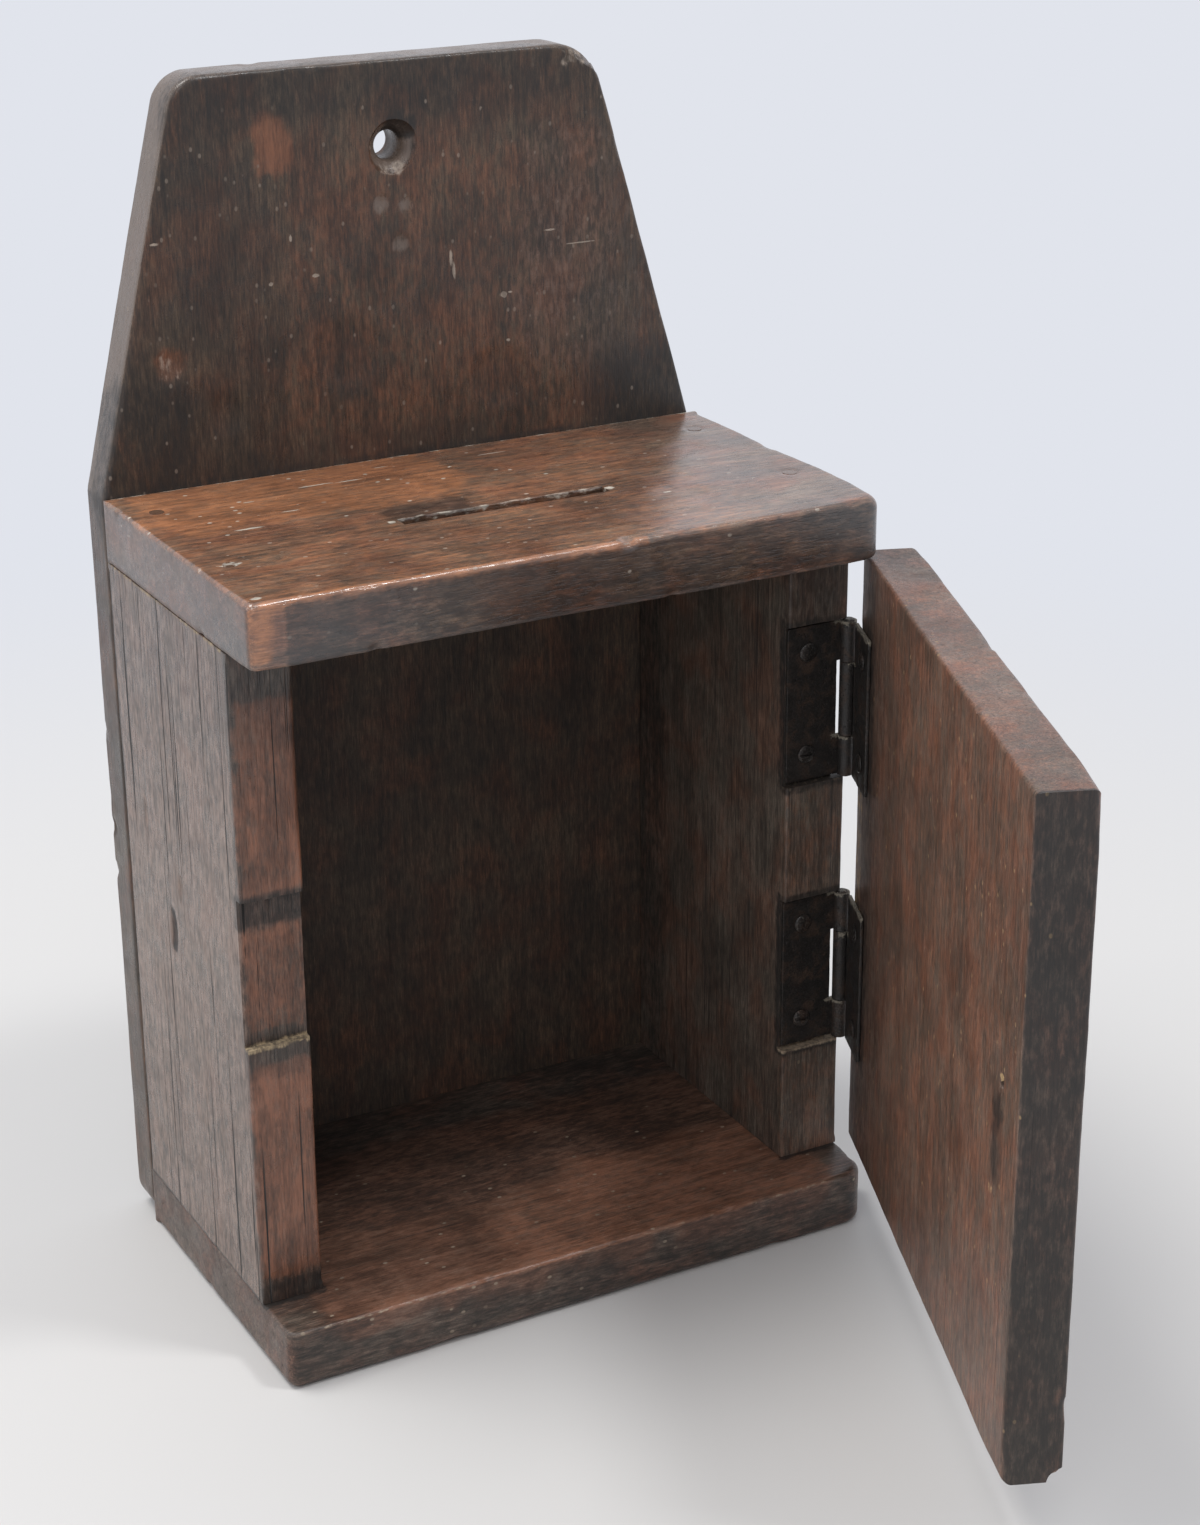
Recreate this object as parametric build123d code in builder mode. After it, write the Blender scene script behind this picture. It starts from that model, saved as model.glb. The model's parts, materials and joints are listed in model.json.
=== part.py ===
"""Wall letter box: a small carcass of butted boards on a tapered back board, with a slot in its
top board and a door on two pressed iron butt hinges.

Millimetres. +Z is up, the front faces -Y and +X is to the viewer's right. The origin is on the
underside, midway across the box and midway along its depth. The door stands open, as it is
usually found, and turns about the hinge pins.
"""
import math
import os

from build123d import *

os.makedirs("parts", exist_ok=True)

# Carcass: widths run along X, depths along Y, heights along Z
box_width = 200.0
box_height = 241.5
top_thickness = 19.0
top_depth = 110.5
bottom_thickness = 19.0
bottom_depth = 112.0
side_depth = 92.5
left_side_thickness = 19.5
right_side_thickness = 21.0

# Back board, which rises above the box and tapers to its top edge
back_thickness = 15.0
back_height = 361.0
back_top_left = 71.0
back_top_right = 63.5
right_shoulder_drop = 8.0
top_left_corner_radius = 11.0
top_right_corner_radius = 17.0
back_foot_radius = 9.0
back_front_arris = 1.6
back_rear_arris = 0.8

# Hanging hole, opened out by wear at the front
hang_hole_radius = 4.25
hang_hole_drop = 25.5
hang_hole_left = 3.4
hang_mouth_radius = 8.0
hang_mouth_depth = 4.5

# Letter slot, measured forward from the back board
slot_length = 66.5
slot_width = 5.2
slot_forward = 62.5
slot_corner_radius = 1.0

# Worn corners and arrises of the boards
top_front_left_radius = 2.5
top_front_right_radius = 6.0
bottom_front_left_radius = 3.5
bottom_front_right_radius = 8.0
bottom_lower_arris = 3.0
board_arris = 1.2
joint_arris = 0.4
door_arris = 1.3

# Old recess let into the front edge of the left side
left_recess_sill = 102.5
left_recess_height = 46.0
left_recess_depth = 3.0

# Door
door_width = 192.0
door_thickness = 17.0
door_top_gap = 1.0
door_bottom_gap = 5.5
door_edge_from_pin = 5.5
door_open_angle = 69.0
door_chip_radius = 4.5
latch_hole_radius = 1.0
latch_hole_depth = 7.0
latch_hole_from_free_edge = 17.5
latch_hole_height = 109.5

# Hinges: pressed leaves rolled round a pin
hinge_length = 50.0
end_knuckle_length = 13.0
knuckle_gap = 0.3
barrel_radius = 2.5
leaf_thickness = 1.2
leaf_corner_radius = 0.8
leaf_slit = 0.4
leaf_inset = 0.8
same_length = 1e-6
pin_clearance = 0.05
pin_overhang = 0.5
pin_head_height = 0.6
upper_hinge_drop = 49.7
lower_hinge_rise = 63.8

# Hinge mortises in the right side
mortise_depth = 3.0
mortise_clearance = 0.9
relief_width = 3.2
relief_depth = 8.0

# Wood screws that hold the leaves
screw_from_pin = 13.5
screw_spacing = 33.0
screw_head_radius = 3.0
screw_head_height = 1.0
screw_shank_radius = 1.5
screw_length = 12.0
screw_point_length = 4.0
screw_slot_width = 0.7
screw_slot_depth = 0.45

# Nails that hold the boards
nail_length = 38.0
nail_point_length = 3.0
nail_point_radius = 0.3
nail_shank_radius = 1.2
nail_head_radius = 2.3
nail_head_thickness = 1.0
nail_set = 1.5
side_nail_margin = 35.0
rail_nail_spacing = 120.0
end_nail_margin = 18.0
driven_clearance = 0.05

# Planes and places worked out from the sizes above
wall_y = (back_thickness + bottom_depth) / 2
back_front_y = wall_y - back_thickness
side_front_y = back_front_y - side_depth
top_underside_z = box_height - top_thickness
side_height = top_underside_z - bottom_thickness
left_outer_x = -box_width / 2
left_inner_x = left_outer_x + left_side_thickness
right_outer_x = box_width / 2
right_inner_x = right_outer_x - right_side_thickness
left_middle_x = (left_outer_x + left_inner_x) / 2
right_middle_x = (right_outer_x + right_inner_x) / 2

pin_x = right_outer_x + pin_overhang
pin_y = side_front_y + mortise_depth - barrel_radius
pin_radius = barrel_radius - leaf_thickness - pin_clearance
leaf_width = right_side_thickness + pin_overhang - leaf_inset
plate_start = barrel_radius + leaf_slit
leaf_face = barrel_radius - leaf_thickness
hinge_heights = {
    "upper": top_underside_z - upper_hinge_drop,
    "lower": bottom_thickness + lower_hinge_rise,
}

door_bottom_z = bottom_thickness + door_bottom_gap
door_height = top_underside_z - door_top_gap - door_bottom_z
door_free_edge = door_edge_from_pin + door_width
open_angle = math.radians(door_open_angle)

# Both frames stand on the pin axis, with X pointing along the leaf and Y out of the box when shut
frame_carrier = Plane(origin=(pin_x, pin_y, 0), x_dir=(-1, 0, 0), z_dir=(0, 0, 1))
door_carrier = Plane(
    origin=(pin_x, pin_y, 0),
    x_dir=(-math.cos(open_angle), -math.sin(open_angle), 0),
    z_dir=(0, 0, 1),
)

FROM_BASE = (Align.CENTER, Align.CENTER, Align.MIN)


def save(piece, name):
    """Label a finished piece and write it."""
    piece.part.label = name
    export_step(piece.part, f"parts/{name}.step")


def nail_heads(points, direction):
    """One plane for each nail, at the outside of its head and facing the way it is driven."""
    return [Plane(origin=point, z_dir=direction) for point in points]


def cut_nail_holes(heads):
    """Holes that the nails fill, cut from the board that is being built."""
    with Locations(*heads):
        Cylinder(
            nail_head_radius + driven_clearance, nail_head_thickness,
            align=FROM_BASE, mode=Mode.SUBTRACT,
        )
        Cylinder(
            nail_shank_radius + driven_clearance, nail_length,
            align=FROM_BASE, mode=Mode.SUBTRACT,
        )


def make_nails(name, heads):
    """A group of like nails: flat head, round shank and short point."""
    shank_length = nail_length - nail_point_length
    with BuildPart() as nails:
        with Locations(*heads):
            Cylinder(nail_head_radius, nail_head_thickness, align=FROM_BASE)
            Cylinder(nail_shank_radius, shank_length, align=FROM_BASE)
        with Locations(*[head.offset(shank_length) for head in heads]):
            Cone(nail_shank_radius, nail_point_radius, nail_point_length, align=FROM_BASE)
    save(nails, name)


def screw_seats(wood_side, centre_z):
    """Planes on a carrier where the screw heads bear on a leaf, facing into the wood."""
    return [
        Plane(
            origin=(screw_from_pin, wood_side * leaf_face, centre_z + offset),
            x_dir=(0, 0, 1),
            z_dir=(0, wood_side, 0),
        )
        for offset in (-screw_spacing / 2, screw_spacing / 2)
    ]


def carried(carrier, seats):
    """The same planes in the box's own frame."""
    return [Plane(carrier.location * seat.location) for seat in seats]


def cut_screw_holes(seats):
    """Holes that the screws fill, cut from the leaf or board that is being built."""
    with Locations(*seats):
        Cylinder(
            screw_shank_radius + driven_clearance, screw_length,
            align=FROM_BASE, mode=Mode.SUBTRACT,
        )


def make_screws(name, seats):
    """A group of like screws: low domed slotted head, round shank and tapered point."""
    dome_radius = (screw_head_radius**2 + screw_head_height**2) / (2 * screw_head_height)
    half_turn = math.asin(screw_head_radius / dome_radius) / 2
    dome_centre = dome_radius - screw_head_height
    on_dome = (
        dome_radius * math.sin(half_turn),
        dome_centre - dome_radius * math.cos(half_turn),
    )
    point_start = screw_length - screw_point_length
    with BuildPart() as screws:
        for seat in seats:
            section = Plane(origin=seat.origin, x_dir=seat.x_dir, z_dir=-seat.y_dir)
            with BuildSketch(section):
                with BuildLine():
                    ThreePointArc((0, -screw_head_height), on_dome, (screw_head_radius, 0))
                    Polyline(
                        (screw_head_radius, 0),
                        (screw_shank_radius, 0),
                        (screw_shank_radius, point_start),
                        (0, screw_length),
                        (0, -screw_head_height),
                    )
                make_face()
            revolve(axis=Axis(seat.origin, seat.z_dir))
        with Locations(*[seat.offset(-screw_head_height) for seat in seats]):
            Box(
                screw_slot_width, 2 * screw_head_radius, screw_slot_depth,
                align=FROM_BASE, mode=Mode.SUBTRACT,
            )
    save(screws, name)


def make_leaf(name, carrier, wood_side, centre_z, knuckles):
    """One hinge leaf: a flat plate and the rolled knuckles that it carries."""
    plate_y = wood_side * (barrel_radius - leaf_thickness / 2)
    with BuildPart(carrier) as leaf:
        with Locations((leaf_width, plate_y, centre_z)):
            Box(
                leaf_width - plate_start, leaf_thickness, hinge_length,
                align=(Align.MAX, Align.CENTER, Align.CENTER),
            )
        thin_edges = leaf.edges().filter_by(
            lambda edge: abs(edge.length - leaf_thickness) < same_length)
        far_edges = thin_edges.sort_by(lambda edge: carrier.to_local_coords(edge.center()).X)[-2:]
        fillet(far_edges, leaf_corner_radius)
        for low, high in knuckles:
            with Locations((0, 0, low)):
                Cylinder(barrel_radius, high - low, align=FROM_BASE)
            with Locations((0, plate_y, low)):
                Box(
                    plate_start, leaf_thickness, high - low,
                    align=(Align.MIN, Align.CENTER, Align.MIN),
                )
        with Locations((0, 0, centre_z)):
            Cylinder(pin_radius + pin_clearance, hinge_length, mode=Mode.SUBTRACT)
        cut_screw_holes(screw_seats(wood_side, centre_z))
    save(leaf, name)


def make_pin(name, centre_z):
    """The pin that both leaves turn on, with a low head at each end of the barrel."""
    with BuildPart(Plane(origin=(pin_x, pin_y, centre_z))) as pin:
        Cylinder(pin_radius, hinge_length)
        for end in (-1, 1):
            with Locations((0, 0, end * (hinge_length + pin_head_height) / 2)):
                Cylinder(pin_radius + pin_clearance + leaf_thickness / 2, pin_head_height)
    save(pin, name)


# Places of the nails: along the back board's edges, and through the top and bottom boards
side_nail_heights = (
    bottom_thickness + side_nail_margin,
    (bottom_thickness + top_underside_z) / 2,
    top_underside_z - side_nail_margin,
)
end_nail_depths = (side_front_y + end_nail_margin, back_front_y - end_nail_margin)
rail_nail_places = (-rail_nail_spacing / 2, rail_nail_spacing / 2)
inward = (0, -1, 0)
downward = (0, 0, -1)
upward = (0, 0, 1)
top_nail_z = box_height - nail_set

back_nails = {
    "nails_back_to_left_side": nail_heads(
        [(left_middle_x, wall_y, z) for z in side_nail_heights], inward),
    "nails_back_to_right_side": nail_heads(
        [(right_middle_x, wall_y, z) for z in side_nail_heights], inward),
    "nails_back_to_top": nail_heads(
        [(x, wall_y, (top_underside_z + box_height) / 2) for x in rail_nail_places], inward),
    "nails_back_to_bottom": nail_heads(
        [(x, wall_y, bottom_thickness / 2) for x in rail_nail_places], inward),
}
top_nails = {
    "nails_top_to_left_side": nail_heads(
        [(left_middle_x, y, top_nail_z) for y in end_nail_depths], downward),
    "nails_top_to_right_side": nail_heads(
        [(right_middle_x, y, top_nail_z) for y in end_nail_depths], downward),
}
bottom_nails = {
    "nails_bottom_to_left_side": nail_heads([(left_middle_x, y, 0) for y in end_nail_depths], upward),
    "nails_bottom_to_right_side": nail_heads([(right_middle_x, y, 0) for y in end_nail_depths], upward),
}
all_nails = {**back_nails, **top_nails, **bottom_nails}

# Back board, seen from the front with its outline running clockwise from the lower left
with BuildPart() as back_board:
    with BuildSketch(Plane.XZ.offset(-wall_y)) as outline:
        with BuildLine():
            Polyline(
                (left_outer_x, 0),
                (left_outer_x, box_height),
                (-back_top_left, back_height),
                (back_top_right, back_height),
                (right_outer_x, box_height - right_shoulder_drop),
                (right_outer_x, 0),
                close=True,
            )
        make_face()
        fillet(outline.vertices().group_by(Axis.Y)[0], back_foot_radius)
        fillet(outline.vertices().group_by(Axis.Y)[-1].sort_by(Axis.X)[0], top_left_corner_radius)
        fillet(outline.vertices().group_by(Axis.Y)[-1].sort_by(Axis.X)[-1], top_right_corner_radius)
    extrude(amount=back_thickness)
    fillet(back_board.faces().sort_by(Axis.Y)[0].edges(), back_front_arris)
    fillet(back_board.faces().sort_by(Axis.Y)[-1].edges(), back_rear_arris)
    hole_place = (-hang_hole_left, back_height - hang_hole_drop)
    with BuildSketch(Plane.XZ.offset(-wall_y)):
        with Locations(hole_place):
            Circle(hang_hole_radius)
    extrude(amount=back_thickness, mode=Mode.SUBTRACT)
    mouth = Plane(
        origin=(hole_place[0], back_front_y + hang_mouth_depth, hole_place[1]), z_dir=inward)
    with Locations(mouth):
        Cone(
            hang_hole_radius, hang_mouth_radius, hang_mouth_depth,
            align=FROM_BASE, mode=Mode.SUBTRACT,
        )
    for heads in back_nails.values():
        cut_nail_holes(heads)
save(back_board, "back_board")

# Top board with the letter slot
with BuildPart() as top_board:
    with BuildSketch(Plane.XY.offset(top_underside_z)) as plan:
        with Locations((0, back_front_y)):
            Rectangle(box_width, top_depth, align=(Align.CENTER, Align.MAX))
        fillet(plan.vertices().group_by(Axis.Y)[0].sort_by(Axis.X)[0], top_front_left_radius)
        fillet(plan.vertices().group_by(Axis.Y)[0].sort_by(Axis.X)[-1], top_front_right_radius)
    extrude(amount=top_thickness)
    fillet(top_board.faces().sort_by(Axis.Z)[-1].edges().sort_by(Axis.Y)[:-1], board_arris)
    fillet(top_board.faces().sort_by(Axis.Z)[0].edges().sort_by(Axis.Y)[:-1], joint_arris)
    with BuildSketch(Plane.XY.offset(top_underside_z)):
        with Locations((0, back_front_y - slot_forward)):
            RectangleRounded(slot_length, slot_width, slot_corner_radius)
    extrude(amount=top_thickness, mode=Mode.SUBTRACT)
    cut_nail_holes(back_nails["nails_back_to_top"])
    for heads in top_nails.values():
        cut_nail_holes(heads)
        with Locations(*heads):
            Cylinder(
                nail_head_radius + driven_clearance, nail_set,
                align=(Align.CENTER, Align.CENTER, Align.MAX), mode=Mode.SUBTRACT,
            )
save(top_board, "top_board")

# Bottom board, its lower front arris worn round
with BuildPart() as bottom_board:
    with BuildSketch() as plan:
        with Locations((0, back_front_y)):
            Rectangle(box_width, bottom_depth, align=(Align.CENTER, Align.MAX))
        fillet(plan.vertices().group_by(Axis.Y)[0].sort_by(Axis.X)[0], bottom_front_left_radius)
        fillet(plan.vertices().group_by(Axis.Y)[0].sort_by(Axis.X)[-1], bottom_front_right_radius)
    extrude(amount=bottom_thickness)
    fillet(bottom_board.faces().sort_by(Axis.Z)[-1].edges().sort_by(Axis.Y)[:-1], joint_arris)
    fillet(bottom_board.faces().sort_by(Axis.Z)[0].edges().sort_by(Axis.Y)[:-1], bottom_lower_arris)
    cut_nail_holes(back_nails["nails_back_to_bottom"])
    for heads in bottom_nails.values():
        cut_nail_holes(heads)
save(bottom_board, "bottom_board")

# Left side, with the old recess in its front edge
with BuildPart() as left_side:
    with Locations((left_outer_x, back_front_y, bottom_thickness)):
        Box(left_side_thickness, side_depth, side_height, align=(Align.MIN, Align.MAX, Align.MIN))
    fillet(left_side.edges().filter_by(Axis.Z).group_by(Axis.Y)[0], board_arris)
    fillet(left_side.edges().filter_by(Axis.Z).sort_by(Axis.Y)[-2:].sort_by(Axis.X)[0], joint_arris)
    with Locations((left_outer_x, side_front_y, left_recess_sill)):
        Box(
            left_side_thickness, left_recess_depth, left_recess_height,
            align=(Align.MIN, Align.MIN, Align.MIN), mode=Mode.SUBTRACT,
        )
    for name in ("nails_back_to_left_side", "nails_top_to_left_side", "nails_bottom_to_left_side"):
        cut_nail_holes(all_nails[name])
save(left_side, "left_side")

# Right side, with a mortise for each hinge and a bevel behind the knuckles
with BuildPart() as right_side:
    with Locations((right_outer_x, back_front_y, bottom_thickness)):
        Box(right_side_thickness, side_depth, side_height, align=(Align.MAX, Align.MAX, Align.MIN))
    fillet(right_side.edges().filter_by(Axis.Z).group_by(Axis.Y)[0], board_arris)
    fillet(right_side.edges().filter_by(Axis.Z).sort_by(Axis.Y)[-2:].sort_by(Axis.X)[-1], joint_arris)
    mortise_floor_y = side_front_y + mortise_depth
    for centre_z in hinge_heights.values():
        mortise_height = hinge_length + 2 * mortise_clearance
        with Locations((right_outer_x, side_front_y, centre_z)):
            Box(
                right_side_thickness, mortise_depth, mortise_height,
                align=(Align.MAX, Align.MIN, Align.CENTER), mode=Mode.SUBTRACT,
            )
        with BuildSketch(Plane.XY.offset(centre_z - mortise_height / 2)):
            with BuildLine():
                Polyline(
                    (right_outer_x - relief_width, mortise_floor_y),
                    (right_outer_x, mortise_floor_y + relief_depth),
                    (right_outer_x, mortise_floor_y),
                    close=True,
                )
            make_face()
        extrude(amount=mortise_height, mode=Mode.SUBTRACT)
        cut_screw_holes(carried(frame_carrier, screw_seats(-1, centre_z)))
    for name in ("nails_back_to_right_side", "nails_top_to_right_side", "nails_bottom_to_right_side"):
        cut_nail_holes(all_nails[name])
save(right_side, "right_side")

# Door, with the nail hole of a lost latch and a chip at its lower free corner
with BuildPart(door_carrier) as door:
    with BuildSketch(door_carrier.offset(door_bottom_z)):
        with Locations((door_edge_from_pin, barrel_radius)):
            Rectangle(door_width, door_thickness, align=(Align.MIN, Align.MIN))
    extrude(amount=door_height)
    fillet(door.edges().filter_by(Axis.Z), door_arris)
    fillet(door.faces().sort_by(Axis.Z)[-1].edges(), door_arris)
    fillet(door.faces().sort_by(Axis.Z)[0].edges(), door_arris)
    with Locations((door_free_edge, barrel_radius + door_thickness, door_bottom_z)):
        Sphere(door_chip_radius, mode=Mode.SUBTRACT)
    for centre_z in hinge_heights.values():
        cut_screw_holes(screw_seats(1, centre_z))
    with Locations((
        door_free_edge - latch_hole_from_free_edge,
        barrel_radius + latch_hole_depth / 2,
        door_bottom_z + latch_hole_height,
    )):
        Cylinder(latch_hole_radius, latch_hole_depth, rotation=(90, 0, 0), mode=Mode.SUBTRACT)
save(door, "door")

# Hinges: the outer knuckles belong to the box and the middle one to the door
for side, centre_z in hinge_heights.items():
    low_end = centre_z - hinge_length / 2
    high_end = centre_z + hinge_length / 2
    low_joint = low_end + end_knuckle_length
    high_joint = high_end - end_knuckle_length
    frame_knuckles = [
        (low_end, low_joint - knuckle_gap / 2),
        (high_joint + knuckle_gap / 2, high_end),
    ]
    door_knuckles = [(low_joint + knuckle_gap / 2, high_joint - knuckle_gap / 2)]
    make_leaf(f"{side}_hinge_frame_leaf", frame_carrier, -1, centre_z, frame_knuckles)
    make_leaf(f"{side}_hinge_door_leaf", door_carrier, 1, centre_z, door_knuckles)
    make_pin(f"{side}_hinge_pin", centre_z)
    make_screws(f"{side}_hinge_frame_screws", carried(frame_carrier, screw_seats(-1, centre_z)))
    make_screws(f"{side}_hinge_door_screws", carried(door_carrier, screw_seats(1, centre_z)))

for name, heads in all_nails.items():
    make_nails(name, heads)

# Stopping that fills the holes over the sunk nail heads in the top board
with BuildPart() as nail_stopping:
    for heads in top_nails.values():
        with Locations(*heads):
            Cylinder(nail_head_radius, nail_set, align=(Align.CENTER, Align.CENTER, Align.MAX))
save(nail_stopping, "top_nail_stopping")
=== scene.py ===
"""Dresses the wall letter box: worn and waxed dark boards, rolled iron hinges, screws and nails.

Metres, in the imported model's own frame. +Z is up, the front faces -Y and +X is to the viewer's right.
"""

import json
import logging
import math
from dataclasses import dataclass, field
from enum import Enum
from functools import partialmethod
from typing import Sequence

import bmesh
import bpy
import numpy as np
from mathutils import Matrix, Vector

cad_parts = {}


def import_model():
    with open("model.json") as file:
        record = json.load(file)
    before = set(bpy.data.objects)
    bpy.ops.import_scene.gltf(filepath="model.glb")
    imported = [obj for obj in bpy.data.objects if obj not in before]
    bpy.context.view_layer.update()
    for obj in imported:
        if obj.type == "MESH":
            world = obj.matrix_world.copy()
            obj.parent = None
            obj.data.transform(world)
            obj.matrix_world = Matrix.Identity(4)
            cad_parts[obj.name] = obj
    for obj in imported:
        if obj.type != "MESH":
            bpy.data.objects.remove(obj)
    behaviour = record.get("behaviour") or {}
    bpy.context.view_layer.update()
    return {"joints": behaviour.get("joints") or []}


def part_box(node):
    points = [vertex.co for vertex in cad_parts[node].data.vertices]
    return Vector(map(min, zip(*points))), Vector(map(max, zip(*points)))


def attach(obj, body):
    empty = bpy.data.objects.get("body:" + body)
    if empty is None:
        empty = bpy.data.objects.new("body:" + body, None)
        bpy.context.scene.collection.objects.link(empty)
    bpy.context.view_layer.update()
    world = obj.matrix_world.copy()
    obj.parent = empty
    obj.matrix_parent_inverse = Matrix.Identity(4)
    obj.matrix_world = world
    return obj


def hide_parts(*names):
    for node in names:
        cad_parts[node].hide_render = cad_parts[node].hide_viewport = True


log = logging.getLogger("letter_box")

Point = tuple[float, float, float]
Colour = tuple[float, float, float]
Array = np.ndarray
Piece = bpy.types.Object
Socket = bpy.types.NodeSocket
Value = float | Socket
Material = bpy.types.Material

# How far a board's skin stays inside its solid
OUTWARD_ROOM = 0.00002

# Folds of a piece above this angle stay sharp
SHARP_FOLD = math.radians(38)

# Shifts that keep the patterns read from one lattice apart
LAYER_SHIFT, NIBBLE_SHIFT, CHIP_SHIFT, MARK_SHIFT, WEAR_SHIFT = 0.37, 0.5, 0.9, 0.21, 0.77


class Body(Enum):
    """The two bodies that pieces ride on."""

    CARCASS = "carcass"
    DOOR = "door"


class Grain(Enum):
    """Which way a board's grain runs."""

    ALONG_X = "x"
    ALONG_Z = "z"


class Roughcast:
    """Smooth random values in space, read from a seeded lattice."""

    def __init__(self, seed: int, cells: int = 48) -> None:
        """Fill the lattice.

        Args:
            seed: Seed of the lattice's values.
            cells: Lattice points along each side, past which the values repeat.
        """
        self.cells = cells
        self.values = np.random.default_rng(seed).random((cells, cells, cells)).astype(np.float32)

    def at(self, points: Array, size: float | Sequence[float]) -> Array:
        """Values from 0 to 1 at some points.

        Args:
            points: Array of n points.
            size: Width of one lattice cell, or one width for each axis.

        Returns:
            Array of n values.
        """
        scaled = points / np.asarray(size, float)
        base = np.floor(scaled).astype(np.int64)
        part = (scaled - base).astype(np.float32)
        part = part * part * (3 - 2 * part)
        low, high = base % self.cells, (base + 1) % self.cells
        x, y, z = part.T
        corners = [
            self.values[i, j, k]
            for i in (low[:, 0], high[:, 0]) for j in (low[:, 1], high[:, 1]) for k in (low[:, 2], high[:, 2])
        ]
        along_z = [a + (b - a) * z for a, b in zip(corners[::2], corners[1::2])]
        along_y = [a + (b - a) * y for a, b in zip(along_z[::2], along_z[1::2])]
        return (along_y[0] + (along_y[1] - along_y[0]) * x).astype(float)

    def layered(self, points: Array, size: float | Sequence[float], layers: int = 3) -> Array:
        """Values from about 0 to 1 with finer layers of half the size and half the strength added.

        Args:
            points: Array of n points.
            size: Width of the coarsest lattice cell.
            layers: How many layers are added up.

        Returns:
            Array of n values.
        """
        size = np.asarray(size, float)
        total = np.zeros(len(points))
        strength = 1.0
        for layer in range(layers):
            total += strength * self.at(points + LAYER_SHIFT * layer, size)
            size = size / 2
            strength /= 2
        return total / (2 - 2 ** (1 - layers))


def step(values: Array, low: float, high: float) -> Array:
    """Rise smoothly from 0 at low to 1 at high, or fall where low is above high."""
    part = np.clip((values - low) / (high - low), 0, 1)
    return part * part * (3 - 2 * part)


@dataclass(frozen=True)
class Place:
    """A board's own axes: u and v in the plane of its face and w through its thickness."""

    origin: Point
    u: Point
    v: Point

    @property
    def axes(self) -> Array:
        """The three axes as rows."""
        u, v = np.array(self.u, float), np.array(self.v, float)
        return np.array([u, v, np.cross(u, v)])

    def outward(self, local: Array) -> Array:
        """Points of the board's own axes in the frame of the box."""
        return local @ self.axes + np.array(self.origin)

    def inward(self, points: Array) -> Array:
        """Points of the frame of the box in the board's own axes."""
        return (points - np.array(self.origin)) @ self.axes.T


@dataclass(frozen=True)
class Outline:
    """A convex outline in a board's face, anticlockwise, each corner with its own radius."""

    corners: tuple[tuple[float, float], ...]
    radii: tuple[float, ...]

    @classmethod
    def rectangle(
        cls, left: float, low: float, right: float, high: float, radii: tuple[float, ...] = (0, 0, 0, 0)
    ) -> "Outline":
        """A rectangle, its corners' radii given from the lower left one round."""
        return cls(((left, low), (right, low), (right, high), (left, high)), radii)

    def sides(self) -> tuple[Array, Array]:
        """How the outline's straight sides run.

        Returns:
            The start of each side and its outward direction.
        """
        starts = np.array(self.corners, float)
        along = np.roll(starts, -1, axis=0) - starts
        along /= np.linalg.norm(along, axis=1)[:, None]
        return starts, np.stack([along[:, 1], -along[:, 0]], axis=1)

    def distance(self, flat: Array) -> Array:
        """How far points lie outside the outline, below 0 inside it.

        Args:
            flat: Array of n points in the plane of the face.

        Returns:
            Array of n distances.
        """
        starts, normals = self.sides()
        far = np.max([(flat - start) @ normal for start, normal in zip(starts, normals)], axis=0)
        for index, radius in enumerate(self.radii):
            if radius <= 0:
                continue
            before, after = normals[index - 1], normals[index]
            half = before + after
            centre = starts[index] - half * radius / (1 + before @ after)
            away = flat - centre
            between = (before[0] * away[:, 1] - before[1] * away[:, 0] > 0) & (
                away[:, 0] * after[1] - away[:, 1] * after[0] > 0
            )
            rounded = np.linalg.norm(away, axis=1) - radius
            far = np.where(between, rounded, far)
        return far

    def chains(self) -> tuple[Array, Array]:
        """How the outline's left and right edges run.

        Returns:
            The left and the right edge as points that rise in v.
        """
        points = np.array(self.corners, float)
        lowest, highest = points[:, 1].min(), points[:, 1].max()
        bottom = [i for i in range(len(points)) if points[i, 1] == lowest]
        top = [i for i in range(len(points)) if points[i, 1] == highest]
        chains = []
        for pick, way in ((min, -1), (max, 1)):
            first, last = (pick(row, key=lambda i: points[i, 0]) for row in (bottom, top))
            steps = way * (last - first) % len(points) + 1
            chains.append(np.array([points[(first + way * k) % len(points)] for k in range(steps)]))
        return chains[0], chains[1]


@dataclass(frozen=True)
class Dent:
    """A hollow in a board's face, at a place in the face and on one of its two sides."""

    u: float
    v: float
    radius: float
    depth: float
    w: float
    stretch: float = 1.0


@dataclass(frozen=True)
class Rub:
    """A stretch of arris or a corner that hands or knocks have worn rounder."""

    point: Point
    reach: float
    extra: float


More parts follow.
